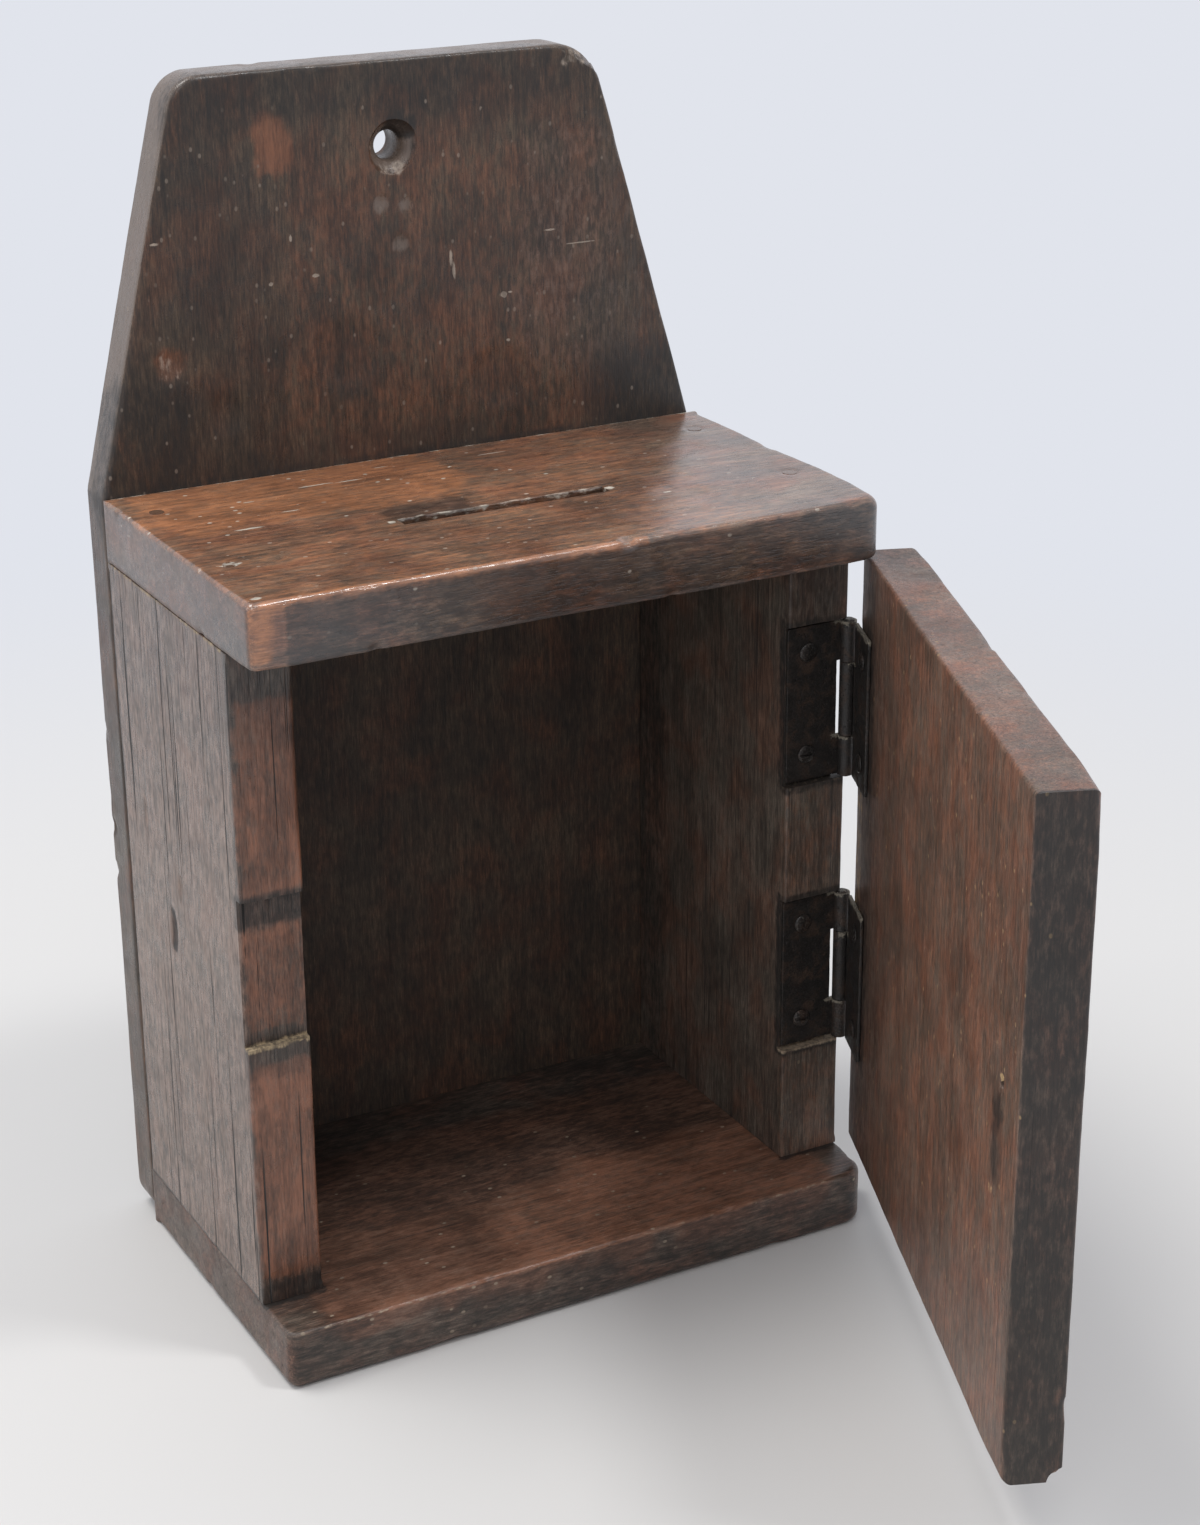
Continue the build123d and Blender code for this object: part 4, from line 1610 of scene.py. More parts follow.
    def bottom(self) -> None:
        """Build the bottom board."""
        p = self.plan
        front, rear = p.bottom_front, p.back_face
        place = Place((0, 0, 0), (1, 0, 0), (0, 1, 0))
        w = p.bottom_top
        outline = Outline.rectangle(p.left, front, p.right, rear, self.bottom_radii)
        board = WornBoard(
            "worn_bottom_board", place, outline, w, arris=0.0007, seed=37,
            foot_arris=0.0022, butted=(False, True), nibble=0.00014, nibble_size=0.007,
            chip_depth=0.0008, chip_level=0.82, dents=self.nail_dimples(place, 0.0),
            rubs=[
                Rub((x, front, 0), 0.05, 0.0006) for x in (-0.09, -0.045, 0.0, 0.045, 0.09)
            ] + [
                Rub((p.right, front, w), 0.02, 0.0018), Rub((p.right, 0, 0), 0.06, 0.0006),
                Rub((p.left, front, w), 0.01, 0.0006), Rub((p.left, 0, 0), 0.06, 0.0006),
                Rub((0.0, front, w), 0.09, 0.0006),
            ],
            bites=[((p.left - 0.0008, front - 0.0006, w + 0.0006), 0.0021)],
        )
        piece = board.build()
        marks = [
            Mark(WARM, (-0.08, front + 0.004, w), (0.08, 0.02, w), 0.014, 0.7, 0.7),
            # Painted shade: the bottom board's top inside the box painted darker, most towards the rear
            Mark(GRIME, (p.left_inner, 0.0, w), (p.right_inner, rear, w), 0.03, 0.66, 0.8),
            Mark(GRIME, (p.left_inner, -0.05, w), (-0.03, 0.0, w), 0.03, 0.42, 0.9),
            Mark(GRIME, (p.left + 0.001, front, 0), (p.right, front, w - 0.002), 0.002, 0.58, 0.3),
            Mark(GRIME, (p.left, front, 0), (p.left, rear, w - 0.002), 0.002, 0.3, 0.4),
            Mark(PALE, (p.left, front, w - 0.0005), (p.right, front, w), 0.0009, 0.46, 1.0),
            Mark(SPECKS, (p.left, front, w), (p.right, 0.0, w), 0.02, 0.7, 0.8),
            Mark(POLISH, (p.left_inner, front + 0.01, w), (p.right_inner, rear, w), 0.006, 0.6, 0.3),
            Mark(POLISH, (p.left, front, 0), (p.right, rear, 0), 0.002, 1.0, 0.2),
        ]
        for low, high in ((p.left, p.left_inner), (p.right_inner, p.right)):
            marks.append(
                Mark(GRIME, (low, p.side_front - 0.001, w), (high, p.side_front, w), 0.0022, 0.9, 0.5)
            )
        dress(board, piece, marks, 0.6)
        finish = WoodFinish(
            "bottom_wood", Grain.ALONG_X, shift=(0.6, 0.2, 0.9), dark=(0.054, 0.035, 0.026),
            middle=(0.12, 0.078, 0.058), light=(0.205, 0.135, 0.102), warm=(0.255, 0.115, 0.068),
            worn=(0.24, 0.145, 0.105), pale=(0.42, 0.34, 0.25), smooth=0.34, open_grain=0.4,
        )
        hand_over(piece, "bottom_board", Body.CARCASS, finish.material())

    def left_side(self) -> None:
        """Build the left side with the old recess in its front edge."""
        p = self.plan
        front, rear, foot, roof = p.side_front, p.back_face, p.bottom_top, p.top_under
        place = Place((p.left, 0, 0), (0, 1, 0), (0, 0, 1))
        w = p.left_inner - p.left
        outline = Outline.rectangle(front, foot, rear, roof)
        board = WornBoard(
            "worn_left_side", place, outline, w, arris=0.0008, seed=41,
            butted=(True, True), unevenness=0.0002,
            rubs=[
                Rub((front, 0.19, 0), 0.05, 0.0004), Rub((front, 0.06, w), 0.05, 0.0008),
                Rub((front, 0.19, w), 0.04, 0.0006), Rub((rear, 0.12, 0), 0.08, 0.0002),
            ],
            dents=[
                Dent(0.012, 0.118, 0.0028, 0.0009, 0.0, stretch=3.2),
                Dent(0.004, 0.135, 0.002, 0.0005, 0.0, stretch=3.0),
                Dent(0.03, 0.15, 0.0018, 0.0004, 0.0, stretch=4.0),
            ],
        )
        piece = board.build()
        margin = self.cut_margin
        sill, head = self.recess_sill, self.recess_sill + self.recess_height
        recess = rough_box(
            "recess_cutter", (p.left - margin, front - margin, sill),
            (p.left_inner + margin, front + self.recess_depth, head),
            spacing=0.0012, jitter=0.0003, seed=43,
        )
        combine(piece, [recess], Cut.AWAY)
        marks = [
            # Painted sheen: the whole outer face painted lighter grey, as the bright reflection it catches
            Mark(WORN, (front + 0.003, foot, 0), (rear, roof, 0), 0.002, 0.62, 0.5),
            Mark(WARM, (front, 0.152, 0.003), (front, 0.205, w), 0.005, 0.72, 0.6),
            Mark(WARM, (front, 0.03, 0.003), (front, 0.094, w - 0.001), 0.006, 0.78, 0.6),
            Mark(
                WARM, (front + 0.003, sill + 0.006, 0.003), (front + 0.003, head - 0.012, w),
                0.005, 0.6, 0.6,
            ),
            Mark(WARM, (front + 0.01, 0.02, 0), (0.045, 0.18, 0), 0.02, 0.3, 0.9),
            # Painted shadow: the front edge darker below the top board's overhang
            Mark(GRIME, (front, roof - 0.018, 0.001), (front, roof, w), 0.022, 0.45, 0.6),
            # Painted shade: a dark band inside the recess below its head
            Mark(GRIME, (front, head - 0.008, 0.0004), (front + 0.004, head, w), 0.003, 0.7, 0.6),
            Mark(GRIME, (front, sill - 0.008, 0.001), (front, sill, w), 0.004, 0.45, 0.8),
            Mark(GRIME, (front, foot, 0.0004), (front, foot + 0.004, w), 0.004, 0.7, 0.7),
            Mark(GRIME, (0.0114, 0.112, 0), (0.0126, 0.124, 0), 0.0024, 1.0, 0.2),
            Mark(GRIME, (rear - 0.0008, 0.02, 0), (rear, 0.22, 0), 0.001, 0.9, 0.6),
            Mark(GRIME, (front, foot, 0), (rear, foot + 0.0003, 0), 0.0009, 0.8, 0.9),
            Mark(PALE, (front, sill - 0.0004, 0), (front + 0.003, sill + 0.0003, w), 0.001, 0.66, 0.95),
            Mark(PALE, (front + 0.004, roof - 0.0004, 0), (rear, roof, 0), 0.0007, 0.5, 0.9),
            Mark(POLISH, (front + 0.006, foot, w), (rear, roof, w), 0.004, 1.0, 0.2),
            Mark(POLISH, (front, sill, 0.002), (front + 0.004, head, w), 0.002, 0.6, 0.3),
        ]
        dress(board, piece, marks, 0.45)
        finish = WoodFinish(
            "side_wood", Grain.ALONG_Z, shift=(0.13, 0.77, 0.4), dark=(0.038, 0.025, 0.019),
            middle=(0.08, 0.052, 0.039), light=(0.138, 0.096, 0.074), warm=(0.2, 0.08, 0.044),
            # The worn colour also gives the painted sheen of the outer face
            worn=(0.315, 0.226, 0.182), pale=(0.34, 0.26, 0.16), smooth=0.29, gloss=0.6, open_grain=1.0,
        )
        hand_over(piece, "left_side", Body.CARCASS, finish.material())

    def right_side(self) -> None:
        """Build the right side with a mortise for each hinge and a bevel behind the knuckles."""
        p = self.plan
        front, rear, foot, roof = p.side_front, p.back_face, p.bottom_top, p.top_under
        place = Place((p.right_inner, 0, 0), (0, 1, 0), (0, 0, 1))
        w = p.right - p.right_inner
        outline = Outline.rectangle(front, foot, rear, roof)
        board = WornBoard(
            "worn_right_side", place, outline, w, arris=0.0009, seed=53, butted=(True, True)
        )
        piece = board.build()
        margin = self.cut_margin
        marks = [
            Mark(WARM, (front, 0.02, 0), (front, 0.222, w), 0.004, 0.22, 0.8),
            Mark(POLISH, (front + 0.004, foot, 0), (rear, roof, 0), 0.004, 1.0, 0.2),
            Mark(POLISH, (front, foot, 0), (front + 0.004, roof, w), 0.003, 0.6, 0.3),
            # Painted shadow: the front edge darker below the top board's overhang
            Mark(GRIME, (front, roof - 0.02, 0), (front, roof, w), 0.006, 0.5, 0.7),
            # Painted shade: the inner face darker towards the back board
            Mark(GRIME, (rear - 0.012, foot, 0), (rear, roof, 0), 0.012, 0.5, 0.7),
            Mark(SPECKS, (front, 0.03, 0), (front + 0.02, 0.1, 0), 0.02, 0.8, 0.8),
        ]
        for side in ("upper", "lower"):
            low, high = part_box(f"{side}_hinge_frame_leaf")
            bottom, top = low.z - self.hinge_clearance, high.z + self.hinge_clearance
            mortise = rough_box(
                f"{side}_mortise_cutter", (p.right_inner - margin, front - margin, bottom),
                (p.right + margin, high.y, top), spacing=0.0012, jitter=0.00022, seed=59,
            )
            combine(piece, [mortise], Cut.AWAY)
            inset, deep = p.right - self.relief_width, high.y + self.relief_depth
            relief = [
                (inset, high.y - 0.001), (inset, high.y), (p.right, deep),
                (p.right + margin, deep + margin), (p.right + margin, high.y - 0.001),
            ]
            combine(piece, [prism(f"{side}_relief_cutter", relief, bottom, top)], Cut.AWAY)
            pale_share = 0.8 if side == "lower" else 0.25
            marks += [
                Mark(GRIME, (front, bottom - 0.001, 0), (high.y + 0.001, top + 0.001, w), 0.002, 0.8, 0.5),
                Mark(
                    PALE, (front, bottom - 0.0004, 0), (front + 0.003, bottom + 0.0002, w),
                    0.001, pale_share, 0.95,
                ),
            ]
        dress(board, piece, marks, 0.45)
        finish = WoodFinish(
            "right_side_wood", Grain.ALONG_Z, shift=(0.83, 0.17, 0.6), dark=(0.054, 0.038, 0.029),
            middle=(0.106, 0.073, 0.054), light=(0.178, 0.127, 0.096), pale=(0.3, 0.23, 0.16),
            smooth=0.32, open_grain=0.6,
        )
        hand_over(piece, "right_side", Body.CARCASS, finish.material())


def prism(name: str, outline: Sequence[tuple[float, float]], low: float, high: float) -> Piece:
    """An upright solid over an outline in plan, from one height to another."""
    points = [(x, y, z) for z in (low, high) for x, y in outline]
    return face_out(mesh_object(name, np.array(points), ring_faces(2, len(outline))))


def face_out(piece: Piece) -> Piece:
    """Turn a closed mesh's faces outwards.

    Args:
        piece: The object.

    Returns:
        The same object.
    """
    shape = bmesh.new()
    shape.from_mesh(piece.data)
    bmesh.ops.recalc_face_normals(shape, faces=shape.faces)
    shape.to_mesh(piece.data)
    shape.free()
    return piece


@dataclass
class Nailing:
    """The nails that hold the boards, and the stopping over those in the top board."""

    plan: Plan
    side_margin: float = 0.035
    rail_spacing: float = 0.12
    end_margin: float = 0.018
    set_depth: float = 0.0015

    def groups(self) -> dict[str, tuple[list[Point], Point]]:
        """Where each group's nails go.

        Returns:
            For each group's node, its head places and the way that the heads face.
        """
        p = self.plan
        left, right = (p.left + p.left_inner) / 2, (p.right + p.right_inner) / 2
        heights = (
            p.bottom_top + self.side_margin, (p.bottom_top + p.top_under) / 2, p.top_under - self.side_margin,
        )
        depths = (p.side_front + self.end_margin, p.back_face - self.end_margin)
        rails = (-self.rail_spacing / 2, self.rail_spacing / 2)
        backward, up, down = (0, 1, 0), (0, 0, 1), (0, 0, -1)
        sunk = p.top - self.set_depth
        found = {}
        for side, x in (("left", left), ("right", right)):
            found[f"nails_back_to_{side}_side"] = ([(x, p.wall, z) for z in heights], backward)
            found[f"nails_top_to_{side}_side"] = ([(x, y, sunk) for y in depths], up)
            found[f"nails_bottom_to_{side}_side"] = ([(x, y, 0) for y in depths], down)
        for rail, z in (("top", (p.top_under + p.top) / 2), ("bottom", p.bottom_top / 2)):
            found[f"nails_back_to_{rail}"] = ([(x, p.wall, z) for x in rails], backward)
        return found

    def build(self, finish: Material) -> None:
        """Make every group of nails and the stopping.

        Args:
            finish: The nails' material.
        """
        tree = nail_tree()
        filled = []
        for index, (name, (spots, facing)) in enumerate(self.groups().items()):
            piece = tree.grow(f"forged_{name}", spots, facing, finish, 100 + index)
            hand_over(piece, name, Body.CARCASS, finish)
            if name.startswith("nails_top"):
                filled += [(x, y, z + self.set_depth) for x, y, z in spots]
        filler = StoppingFinish().material()
        piece = stopping_tree().grow("worn_nail_stopping", filled, (0, 0, 1), filler, 131)
        points = points_of(piece)
        front_left = (points[:, 0] < 0) & (points[:, 1] < 0)
        paint(piece, PALE.value, front_left.astype(float))
        hand_over(piece, "top_nail_stopping", Body.CARCASS, filler)


@dataclass
class Door:
    """The plain door, standing open."""

    plan: Plan
    width: float = 0.192
    thickness: float = 0.017
    edge_from_pin: float = 0.0055
    barrel_radius: float = 0.0025
    latch_from_edge: float = 0.0175
    latch_height: float = 0.1095
    latch_radius: float = 0.001
    latch_depth: float = 0.007
    chip_radius: float = 0.0045

    @property
    def along(self) -> Point:
        """From the pin towards the free edge."""
        return (-math.cos(self.plan.open_angle), -math.sin(self.plan.open_angle), 0)

    @property
    def out(self) -> Point:
        """Out of the door's outer face."""
        return (math.sin(self.plan.open_angle), -math.cos(self.plan.open_angle), 0)

    def build(self) -> None:
        """Build the door."""
        low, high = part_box("door")
        reach = self.barrel_radius + self.thickness
        origin = (self.plan.pin[0] + self.out[0] * reach, self.plan.pin[1] + self.out[1] * reach, 0)
        place = Place(origin, self.along, (0, 0, 1))
        near, far = self.edge_from_pin, self.edge_from_pin + self.width
        outline = Outline.rectangle(near, low.z, far, high.z)
        w = self.thickness
        u, v = far - self.latch_from_edge, low.z + self.latch_height
        board = WornBoard(
            "worn_door", place, outline, self.thickness, arris=0.0013, spacing=0.00135, seed=67,
            unevenness=0.0002, nibble=0.00014, nibble_size=0.009, chip_depth=0.0007, chip_level=0.84,
            dents=[
                Dent(u, v + 0.001, 0.0022, 0.001, w, stretch=1.7),
                Dent(near + 0.045, 0.15, 0.009, 0.0003, w), Dent(near + 0.1, 0.09, 0.011, 0.0003, w),
                Dent(near + 0.15, 0.19, 0.01, 0.0003, w), Dent(near + 0.09, 0.14, 0.012, 0.0003, 0.0),
                Dent(far - 0.03, 0.07, 0.01, 0.0004, 0.0),
                Dent(u - 0.003, 0.1005, 0.0018, 0.0006, w, stretch=0.4),
            ],
            rubs=[
                Rub((far, high.z, 0), 0.02, 0.0014), Rub((far, high.z, w), 0.014, 0.0008),
                Rub((far, low.z, w), 0.02, 0.0016), Rub((near, high.z, 0), 0.015, 0.0012),
                Rub((far, 0.13, w), 0.05, 0.0005), Rub((far - 0.06, low.z, 0), 0.05, 0.001),
            ],
            bites=[
                ((far + 0.0004, low.z - 0.0004, 0.0), self.chip_radius),
                ((near + 0.135, high.z + 0.0022, w + 0.0008), 0.0034),
            ],
        )
        piece = board.build()
        bore = Place(tuple(place.outward(np.array([u, v, 0.0]))), self.along, (0, 0, 1))
        profile = [
            (w - self.latch_depth, self.latch_radius * 0.8), (w - 0.002, self.latch_radius),
            (w - 0.0005, self.latch_radius * 1.35), (w + 0.002, self.latch_radius * 1.7),
        ]
        combine(piece, [tube("latch_cutter", bore, profile, 18, 0.15, 71)], Cut.AWAY)
        marks = [
            Mark(GRIME, (u - 0.004, 0.109, w), (u - 0.003, 0.126, w), 0.0078, 0.7, 0.9),
            Mark(GRIME, (near, low.z, w), (near + 0.015, high.z, w), 0.045, 0.42, 0.5),
            Mark(PALE, (u - 0.007, 0.1, w), (u - 0.003, 0.1012, w), 0.0018, 0.34, 0.95),
            Mark(PALE, (near + 0.001, 0.106, w), (near + 0.008, 0.147, w), 0.002, 0.36, 1.0),
            Mark(WORN, (near, low.z, w), (near + 0.008, high.z, w), 0.01, 0.3, 0.9),
            Mark(WARM, (near + 0.03, low.z, w), (far - 0.02, high.z, w), 0.03, 0.3, 0.9),
            Mark(WARM, (near + 0.05, high.z, 0.003), (far, high.z, w), 0.01, 0.2, 0.9),
            Mark(GRIME, (far, low.z, 0.0012), (far, high.z, w - 0.0012), 0.0024, 0.84, 0.1),
            Mark(SPECKS, (near, low.z, w), (far, high.z, w), 0.01, 0.35, 0.9),
            Mark(POLISH, (near, low.z, w), (far, high.z, w), 0.0015, 0.45, 0.2),
        ]
        for side in ("upper", "lower"):
            leaf_low, leaf_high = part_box(f"{side}_hinge_door_leaf")
            foot, top = leaf_low.z, leaf_high.z
            marks += [
                Mark(GRIME, (near, foot - 0.002, w), (near + 0.018, top + 0.001, w), 0.003, 0.7, 0.7),
                Mark(GRIME, (near, foot - 0.012, w), (near + 0.016, foot, w), 0.005, 0.55, 0.8),
            ]
        dress(board, piece, marks, 0.6)
        rim = tuple(place.outward(np.array([u, v + 0.0019, w])))
        finish = WoodFinish(
            "door_wood", Grain.ALONG_Z, shift=(0.47, 0.61, 0.3), dark=(0.092, 0.056, 0.04),
            middle=(0.148, 0.088, 0.063), light=(0.214, 0.132, 0.096), warm=(0.28, 0.11, 0.054),
            worn=(0.23, 0.145, 0.11), pale=(0.66, 0.44, 0.22), open_grain=0.4,
            nicks=(Nick(rim, (0.0019, 0.0019, 0.0015)),),
        )
        hand_over(piece, "door", Body.DOOR, finish.material())


@dataclass
class Hinge:
    """One butt hinge: two leaves with rolled knuckles, a pin, and the screws of each leaf."""

    side: str
    plan: Plan
    door: Door
    plate_start: float = 0.0029
    leaf_width: float = 0.0207
    leaf_thickness: float = 0.0012
    end_knuckle: float = 0.013
    knuckle_gap: float = 0.0003
    barrel_radius: float = 0.0025
    eye_radius: float = 0.00135
    tail_angle: float = 388.0
    tail_overlap: float = 0.0009
    tail_inset: float = 0.00003
    arc_steps: int = 40
    dented: float = 0.03
    dent_size: float = 0.004
    corner_radii: tuple[float, ...] = (0, 0.0008, 0.0008, 0)
    screw_from_pin: float = 0.0135
    screw_spacing: float = 0.033
    pin_radius: float = 0.00125
    pin_head: float = 0.0006

    def heights(self) -> tuple[float, float]:
        """The hinge's foot and top."""
        low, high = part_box(f"{self.side}_hinge_frame_leaf")
        return low.z, high.z

    def axes(self, body: Body) -> tuple[Place, int]:
        """Axes on the pin with u along a body's leaf, and which side of the pin its plate lies on."""
        along, sign = (self.door.along, -1) if body is Body.DOOR else ((-1, 0, 0), 1)
        return Place((*self.plan.pin, 0), along, (0, 0, 1)), sign

    def leaf(self, body: Body, finish: Material) -> None:
        """Build one leaf.

        Args:
            body: What it is screwed to. The door's leaf carries the middle knuckle.
            finish: Its material.
        """
        low, high = self.heights()
        on_door = body is Body.DOOR
        node = f"{self.side}_hinge_{'door' if on_door else 'frame'}_leaf"
        axis, sign = self.axes(body)
        start = -self.barrel_radius if on_door else self.barrel_radius - self.leaf_thickness
        place = Place(tuple(axis.outward(np.array([0, 0, start]))), axis.u, axis.v)
        outline = Outline.rectangle(self.plate_start, low, self.leaf_width, high, self.corner_radii)
        seed = 80 + 3 * on_door + (self.side == "lower")
        plate = WornBoard(
            f"pressed_{node}", place, outline, self.leaf_thickness, arris=0.00028, spacing=0.0007,
            seed=seed, unevenness=0.00006, nibble=0.0001, nibble_size=0.0024, chip_depth=0.0002,
            chip_level=0.8,
            end_rows=(0, 0.00012, 0.00026, 0.00045, 0.0007, 0.0012),
        )
        piece = plate.build()
        knuckles = self.knuckles(on_door)
        rolled = [
            self.knuckle(f"{node}_knuckle_{index}", axis, sign, foot, top)
            for index, (foot, top) in enumerate(knuckles)
        ]
        combine(piece, rolled, Cut.JOIN)
        # Pale knuckle tops: dust, and painted light on the upward-facing ends
        marks = [
            Mark(PALE, (-0.003, top - 0.0004, -0.003), (0.004, top, 0.003), 0.0012, 0.8, 0.9)
            for _, top in knuckles
        ]
        if on_door:
            top_edge = Mark(
                PALE, (0.002, high - 0.0006, -0.001), (self.leaf_width, high, 0.003), 0.001, 0.8, 0.9
            )
            marks.append(top_edge)
        dress(plate, piece, marks, 0.4)
        hand_over(piece, node, body, finish)

    def knuckles(self, on_door: bool) -> list[tuple[float, float]]:
        """Where a leaf's knuckles stand.

        Args:
            on_door: Whether it is the door's leaf, with the middle knuckle, or the one with both ends.

        Returns:
            Foot and top of each knuckle.
        """
        low, high = self.heights()
        end, half = self.end_knuckle, self.knuckle_gap / 2
        if on_door:
            return [(low + end + half, high - end - half)]
        return [(low, low + end - half), (high - end + half, high)]

    def knuckle(self, name: str, axis: Place, sign: int, foot: float, top: float) -> Piece:
        """A knuckle rolled from the leaf: from the plate round the pin and back to it.

        Args:
            name: The object's name.
            axis: Axes on the pin.
            sign: Which side of the pin the plate lies on.
            foot: Its foot.
            top: Its top.

        Returns:
            The linked object.
        """
        outer, eye, inner = self.barrel_radius, self.eye_radius, self.barrel_radius - self.leaf_thickness
        steps = self.arc_steps
        turns = [math.radians(90 + (self.tail_angle - 90) * k / steps) for k in range(steps + 1)]
        reach = self.plate_start + self.tail_overlap
        section = [(reach, outer - self.tail_inset)]
        section += [(outer * math.cos(turn), outer * math.sin(turn)) for turn in turns]
        section += [(eye * math.cos(turn), eye * math.sin(turn)) for turn in reversed(turns)]
        section += [(reach, inner + self.tail_inset)]
        rows = [0, 0.04, 0.12, 0.3, 0.5, 0.7, 0.88, 0.96, 1]
        noise = Roughcast(90 + int(foot * 1e4) % 50, 24)
        points = [(u, foot + (top - foot) * row, sign * w) for row in rows for u, w in section]
        local = np.array(points)
        wander = np.stack([noise.at(local + shift, self.dent_size) - 0.5 for shift in (0.0, 0.3)], axis=1)
        local[:, [0, 2]] *= 1 - self.dented * np.abs(wander)
        return face_out(mesh_object(name, axis.outward(local), ring_faces(len(rows), len(section))))

    def pin(self, finish: Material) -> None:
        """Build the pin with its two low heads.

        Args:
            finish: Its material.
        """
        low, high = self.heights()
        axis = Place((*self.plan.pin, 0), (1, 0, 0), (0, 1, 0))
        head = self.pin_head
        end = [
            (head, 0.0009), (head * 0.92, 0.0014), (head * 0.5, 0.00178), (head * 0.08, 0.0018),
            (0, 0.0016), (0, self.pin_radius),
        ]
        profile = [(low - out, radius) for out, radius in end]
        profile += [(high + out, radius) for out, radius in reversed(end)]
        node = f"{self.side}_hinge_pin"
        piece = tube(f"peened_{node}", axis, profile, 28, 0.02, 97)
        paint(piece, WORN.value, np.full(len(piece.data.vertices), 0.55))
        # Paler upper head: dust, and painted light on its upward-facing top
        paint(piece, PALE.value, step(points_of(piece)[:, 2], high, high + head) * 0.5)
        hand_over(piece, node, Body.CARCASS, finish)

    def screws(self, body: Body, tree: FastenerTree, finish: Material) -> None:
        """Make the two screws of one leaf.

        Args:
            body: What the leaf is screwed to.
            tree: The screws' tree.
            finish: Their material.
        """
        low, high = self.heights()
        axis, sign = self.axes(body)
        on_door = body is Body.DOOR
        seat = sign * (self.barrel_radius - self.leaf_thickness)
        middle = (low + high) / 2
        spots = [
            tuple(axis.outward(np.array([self.screw_from_pin, middle + offset, seat])))
            for offset in (-self.screw_spacing / 2, self.screw_spacing / 2)
        ]
        facing = tuple(-sign * axis.axes[2])
        node = f"{self.side}_hinge_{'door' if on_door else 'frame'}_screws"
        piece = tree.grow(f"domed_{node}", spots, facing, finish, 7 + on_door)
        hand_over(piece, node, body, finish)

    def build(self, tree: FastenerTree, iron: Material, screw_iron: Material) -> None:
        """Build all the hinge's pieces.

        Args:
            tree: The screws' tree.
            iron: Material of the leaves and the pin.
            screw_iron: Material of the screws.
        """
        for body in Body:
            self.leaf(body, iron)
            self.screws(body, tree, screw_iron)
        self.pin(iron)


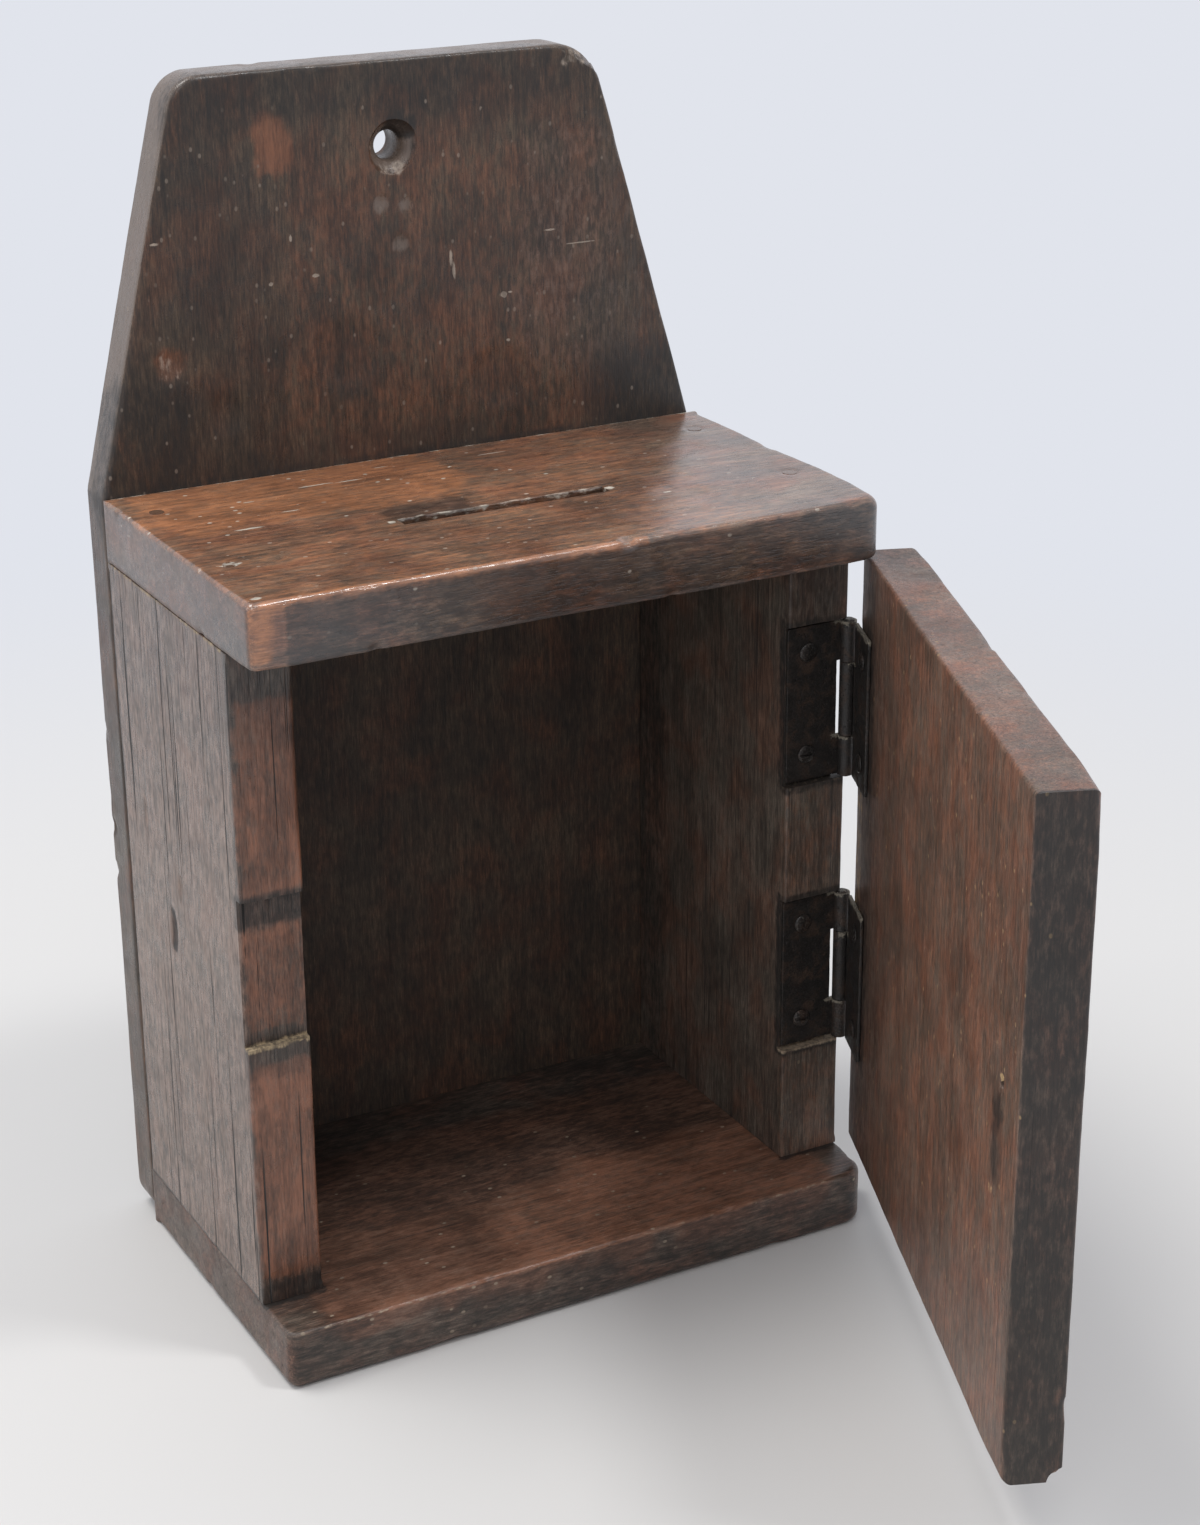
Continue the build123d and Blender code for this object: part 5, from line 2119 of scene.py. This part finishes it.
@dataclass(frozen=True)
class Studio:
    """Pale floor, soft light and the camera."""

    eye: Point = (-0.36595, -0.74793, 0.48895)
    yaw: float = 28.379
    pitch: float = -21.823
    roll: float = -0.474
    lens: float = 69.46
    long_side: float = 36.0
    clip: tuple[float, float] = (0.05, 60)
    aim: Point = (0, 0, 0.12)
    floor_radius: float = 9.0
    floor_sides: int = 64
    floor_drop: float = 0.0001
    near: Colour = (0.68, 0.67, 0.656)
    far: Colour = (0.753, 0.776, 0.839)
    fade_start: float = 0.26
    fade_end: float = 0.8
    world_light: float = 0.7

    def camera(self) -> None:
        """Stand the camera where the photograph was taken."""
        yaw, pitch, roll = (math.radians(angle) for angle in (self.yaw, self.pitch, self.roll))
        forward = Vector((math.sin(yaw) * math.cos(pitch), math.cos(yaw) * math.cos(pitch), math.sin(pitch)))
        level = Vector((math.cos(yaw), -math.sin(yaw), 0))
        right = level * math.cos(roll) + level.cross(forward) * math.sin(roll)
        up = right.cross(forward)
        lens = bpy.data.cameras.new("camera")
        lens.lens, lens.sensor_width = self.lens, self.long_side
        lens.clip_start, lens.clip_end = self.clip
        camera = bpy.data.objects.new("camera", lens)
        turn = Matrix((right, up, -forward)).transposed().to_4x4()
        camera.matrix_world = Matrix.Translation(self.eye) @ turn
        bpy.context.scene.collection.objects.link(camera)
        bpy.context.scene.camera = camera

    def floor(self) -> None:
        """Lay the floor."""
        sides, radius = self.floor_sides, self.floor_radius
        turns = [math.tau * k / sides for k in range(sides)]
        points = [(radius * math.cos(turn), radius * math.sin(turn), -self.floor_drop) for turn in turns]
        floor = mesh_object("floor", np.array(points), [tuple(range(sides))])
        r = Recipe("floor")
        share = r.between(r.length(r.object_points), self.fade_start, self.fade_end)
        finish = r.finish((*self.near, 1), 0.55, r.bump(r.noise(r.points(), 90, 2), 0.0001, 0.2))
        glow = r.add("ShaderNodeEmission", {"Color": (*self.far, 1)}).outputs["Emission"]
        share = r.times(share, self.seen(r))
        faded = r.add("ShaderNodeMixShader", {0: share, 1: r.shader.outputs["BSDF"], 2: glow})
        r.feed(r.tree.nodes["Material Output"].inputs["Surface"], faded.outputs["Shader"])
        floor.data.materials.append(finish)

    @staticmethod
    def seen(sketch: NodeSketch) -> Socket:
        """1 for what the camera sees, also by way of gloss and glass."""
        path = sketch.add("ShaderNodeLightPath").outputs
        return sketch.most(
            sketch.most(path["Is Camera Ray"], path["Is Glossy Ray"]), path["Is Transmission Ray"]
        )

    def world(self) -> None:
        """Light the scene evenly, with a pale background where the camera and reflections see it."""
        world = bpy.data.worlds.new("studio")
        bpy.context.scene.world = world
        world.use_nodes = True
        sketch = NodeSketch(world.node_tree)
        inputs = {"Value": self.seen(sketch), "To Min": self.world_light, "To Max": 1.0}
        strength = sketch.add("ShaderNodeMapRange", inputs).outputs["Result"]
        shine = sketch.tree.nodes["Background"]
        sketch.feed(shine.inputs["Color"], (*self.far, 1))
        sketch.feed(shine.inputs["Strength"], strength)

    def lamp(self, name: str, place: Point, size: float, power: float, colour: Colour) -> None:
        """Hang one soft lamp that faces the box.

        Args:
            name: The lamp's name.
            place: Where it hangs.
            size: Width of its square.
            power: Watts.
            colour: Its colour.
        """
        light = bpy.data.lights.new(name, "AREA")
        light.shape, light.size, light.energy, light.color = "SQUARE", size, power, colour
        lamp = bpy.data.objects.new(name, light)
        lamp.location = place
        lamp.rotation_mode = "QUATERNION"
        lamp.rotation_quaternion = (Vector(self.aim) - Vector(place)).to_track_quat("-Z", "Y")
        bpy.context.scene.collection.objects.link(lamp)

    def build(self) -> None:
        """Set the studio up."""
        self.camera()
        self.floor()
        self.world()
        self.lamp("above", (-0.75, 0.4, 2.5), 1.0, 28, (1.0, 0.985, 0.96))
        self.lamp("key", (-1.1, -1.6, 2.2), 1.2, 11, (1.0, 0.985, 0.96))
        self.lamp("side", (-2.2, 0.9, 1.3), 1.5, 11, (0.96, 0.98, 1.0))
        self.lamp("glint", (0.75, -0.75, 2.4), 0.35, 15, (1.0, 1.0, 1.0))
        bpy.context.scene.view_settings.view_transform = "Standard"


def main() -> None:
    """Dress the letter box."""
    logging.basicConfig(level=logging.INFO, format="%(message)s")
    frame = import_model()
    Studio().build()
    plan = Plan.read(frame["joints"])
    nailing = Nailing(plan)
    carcass = Carcass(plan, nailing)
    for make in (carcass.back, carcass.top, carcass.bottom, carcass.left_side, carcass.right_side):
        make()
    door = Door(plan)
    door.build()
    iron = IronFinish("hinge_iron").material()
    screw_iron = IronFinish("screw_iron", (0.2, 0.5, 0.1), bare=(0.24, 0.22, 0.2), rough=0.4).material()
    nail_iron = IronFinish("nail_iron", (0.7, 0.1, 0.4), brown=(0.11, 0.055, 0.03), rough=0.6).material()
    screws = screw_tree()
    for side in ("upper", "lower"):
        Hinge(side, plan, door).build(screws, iron, screw_iron)
    nailing.build(nail_iron)


if __name__ == "__main__":
    main()
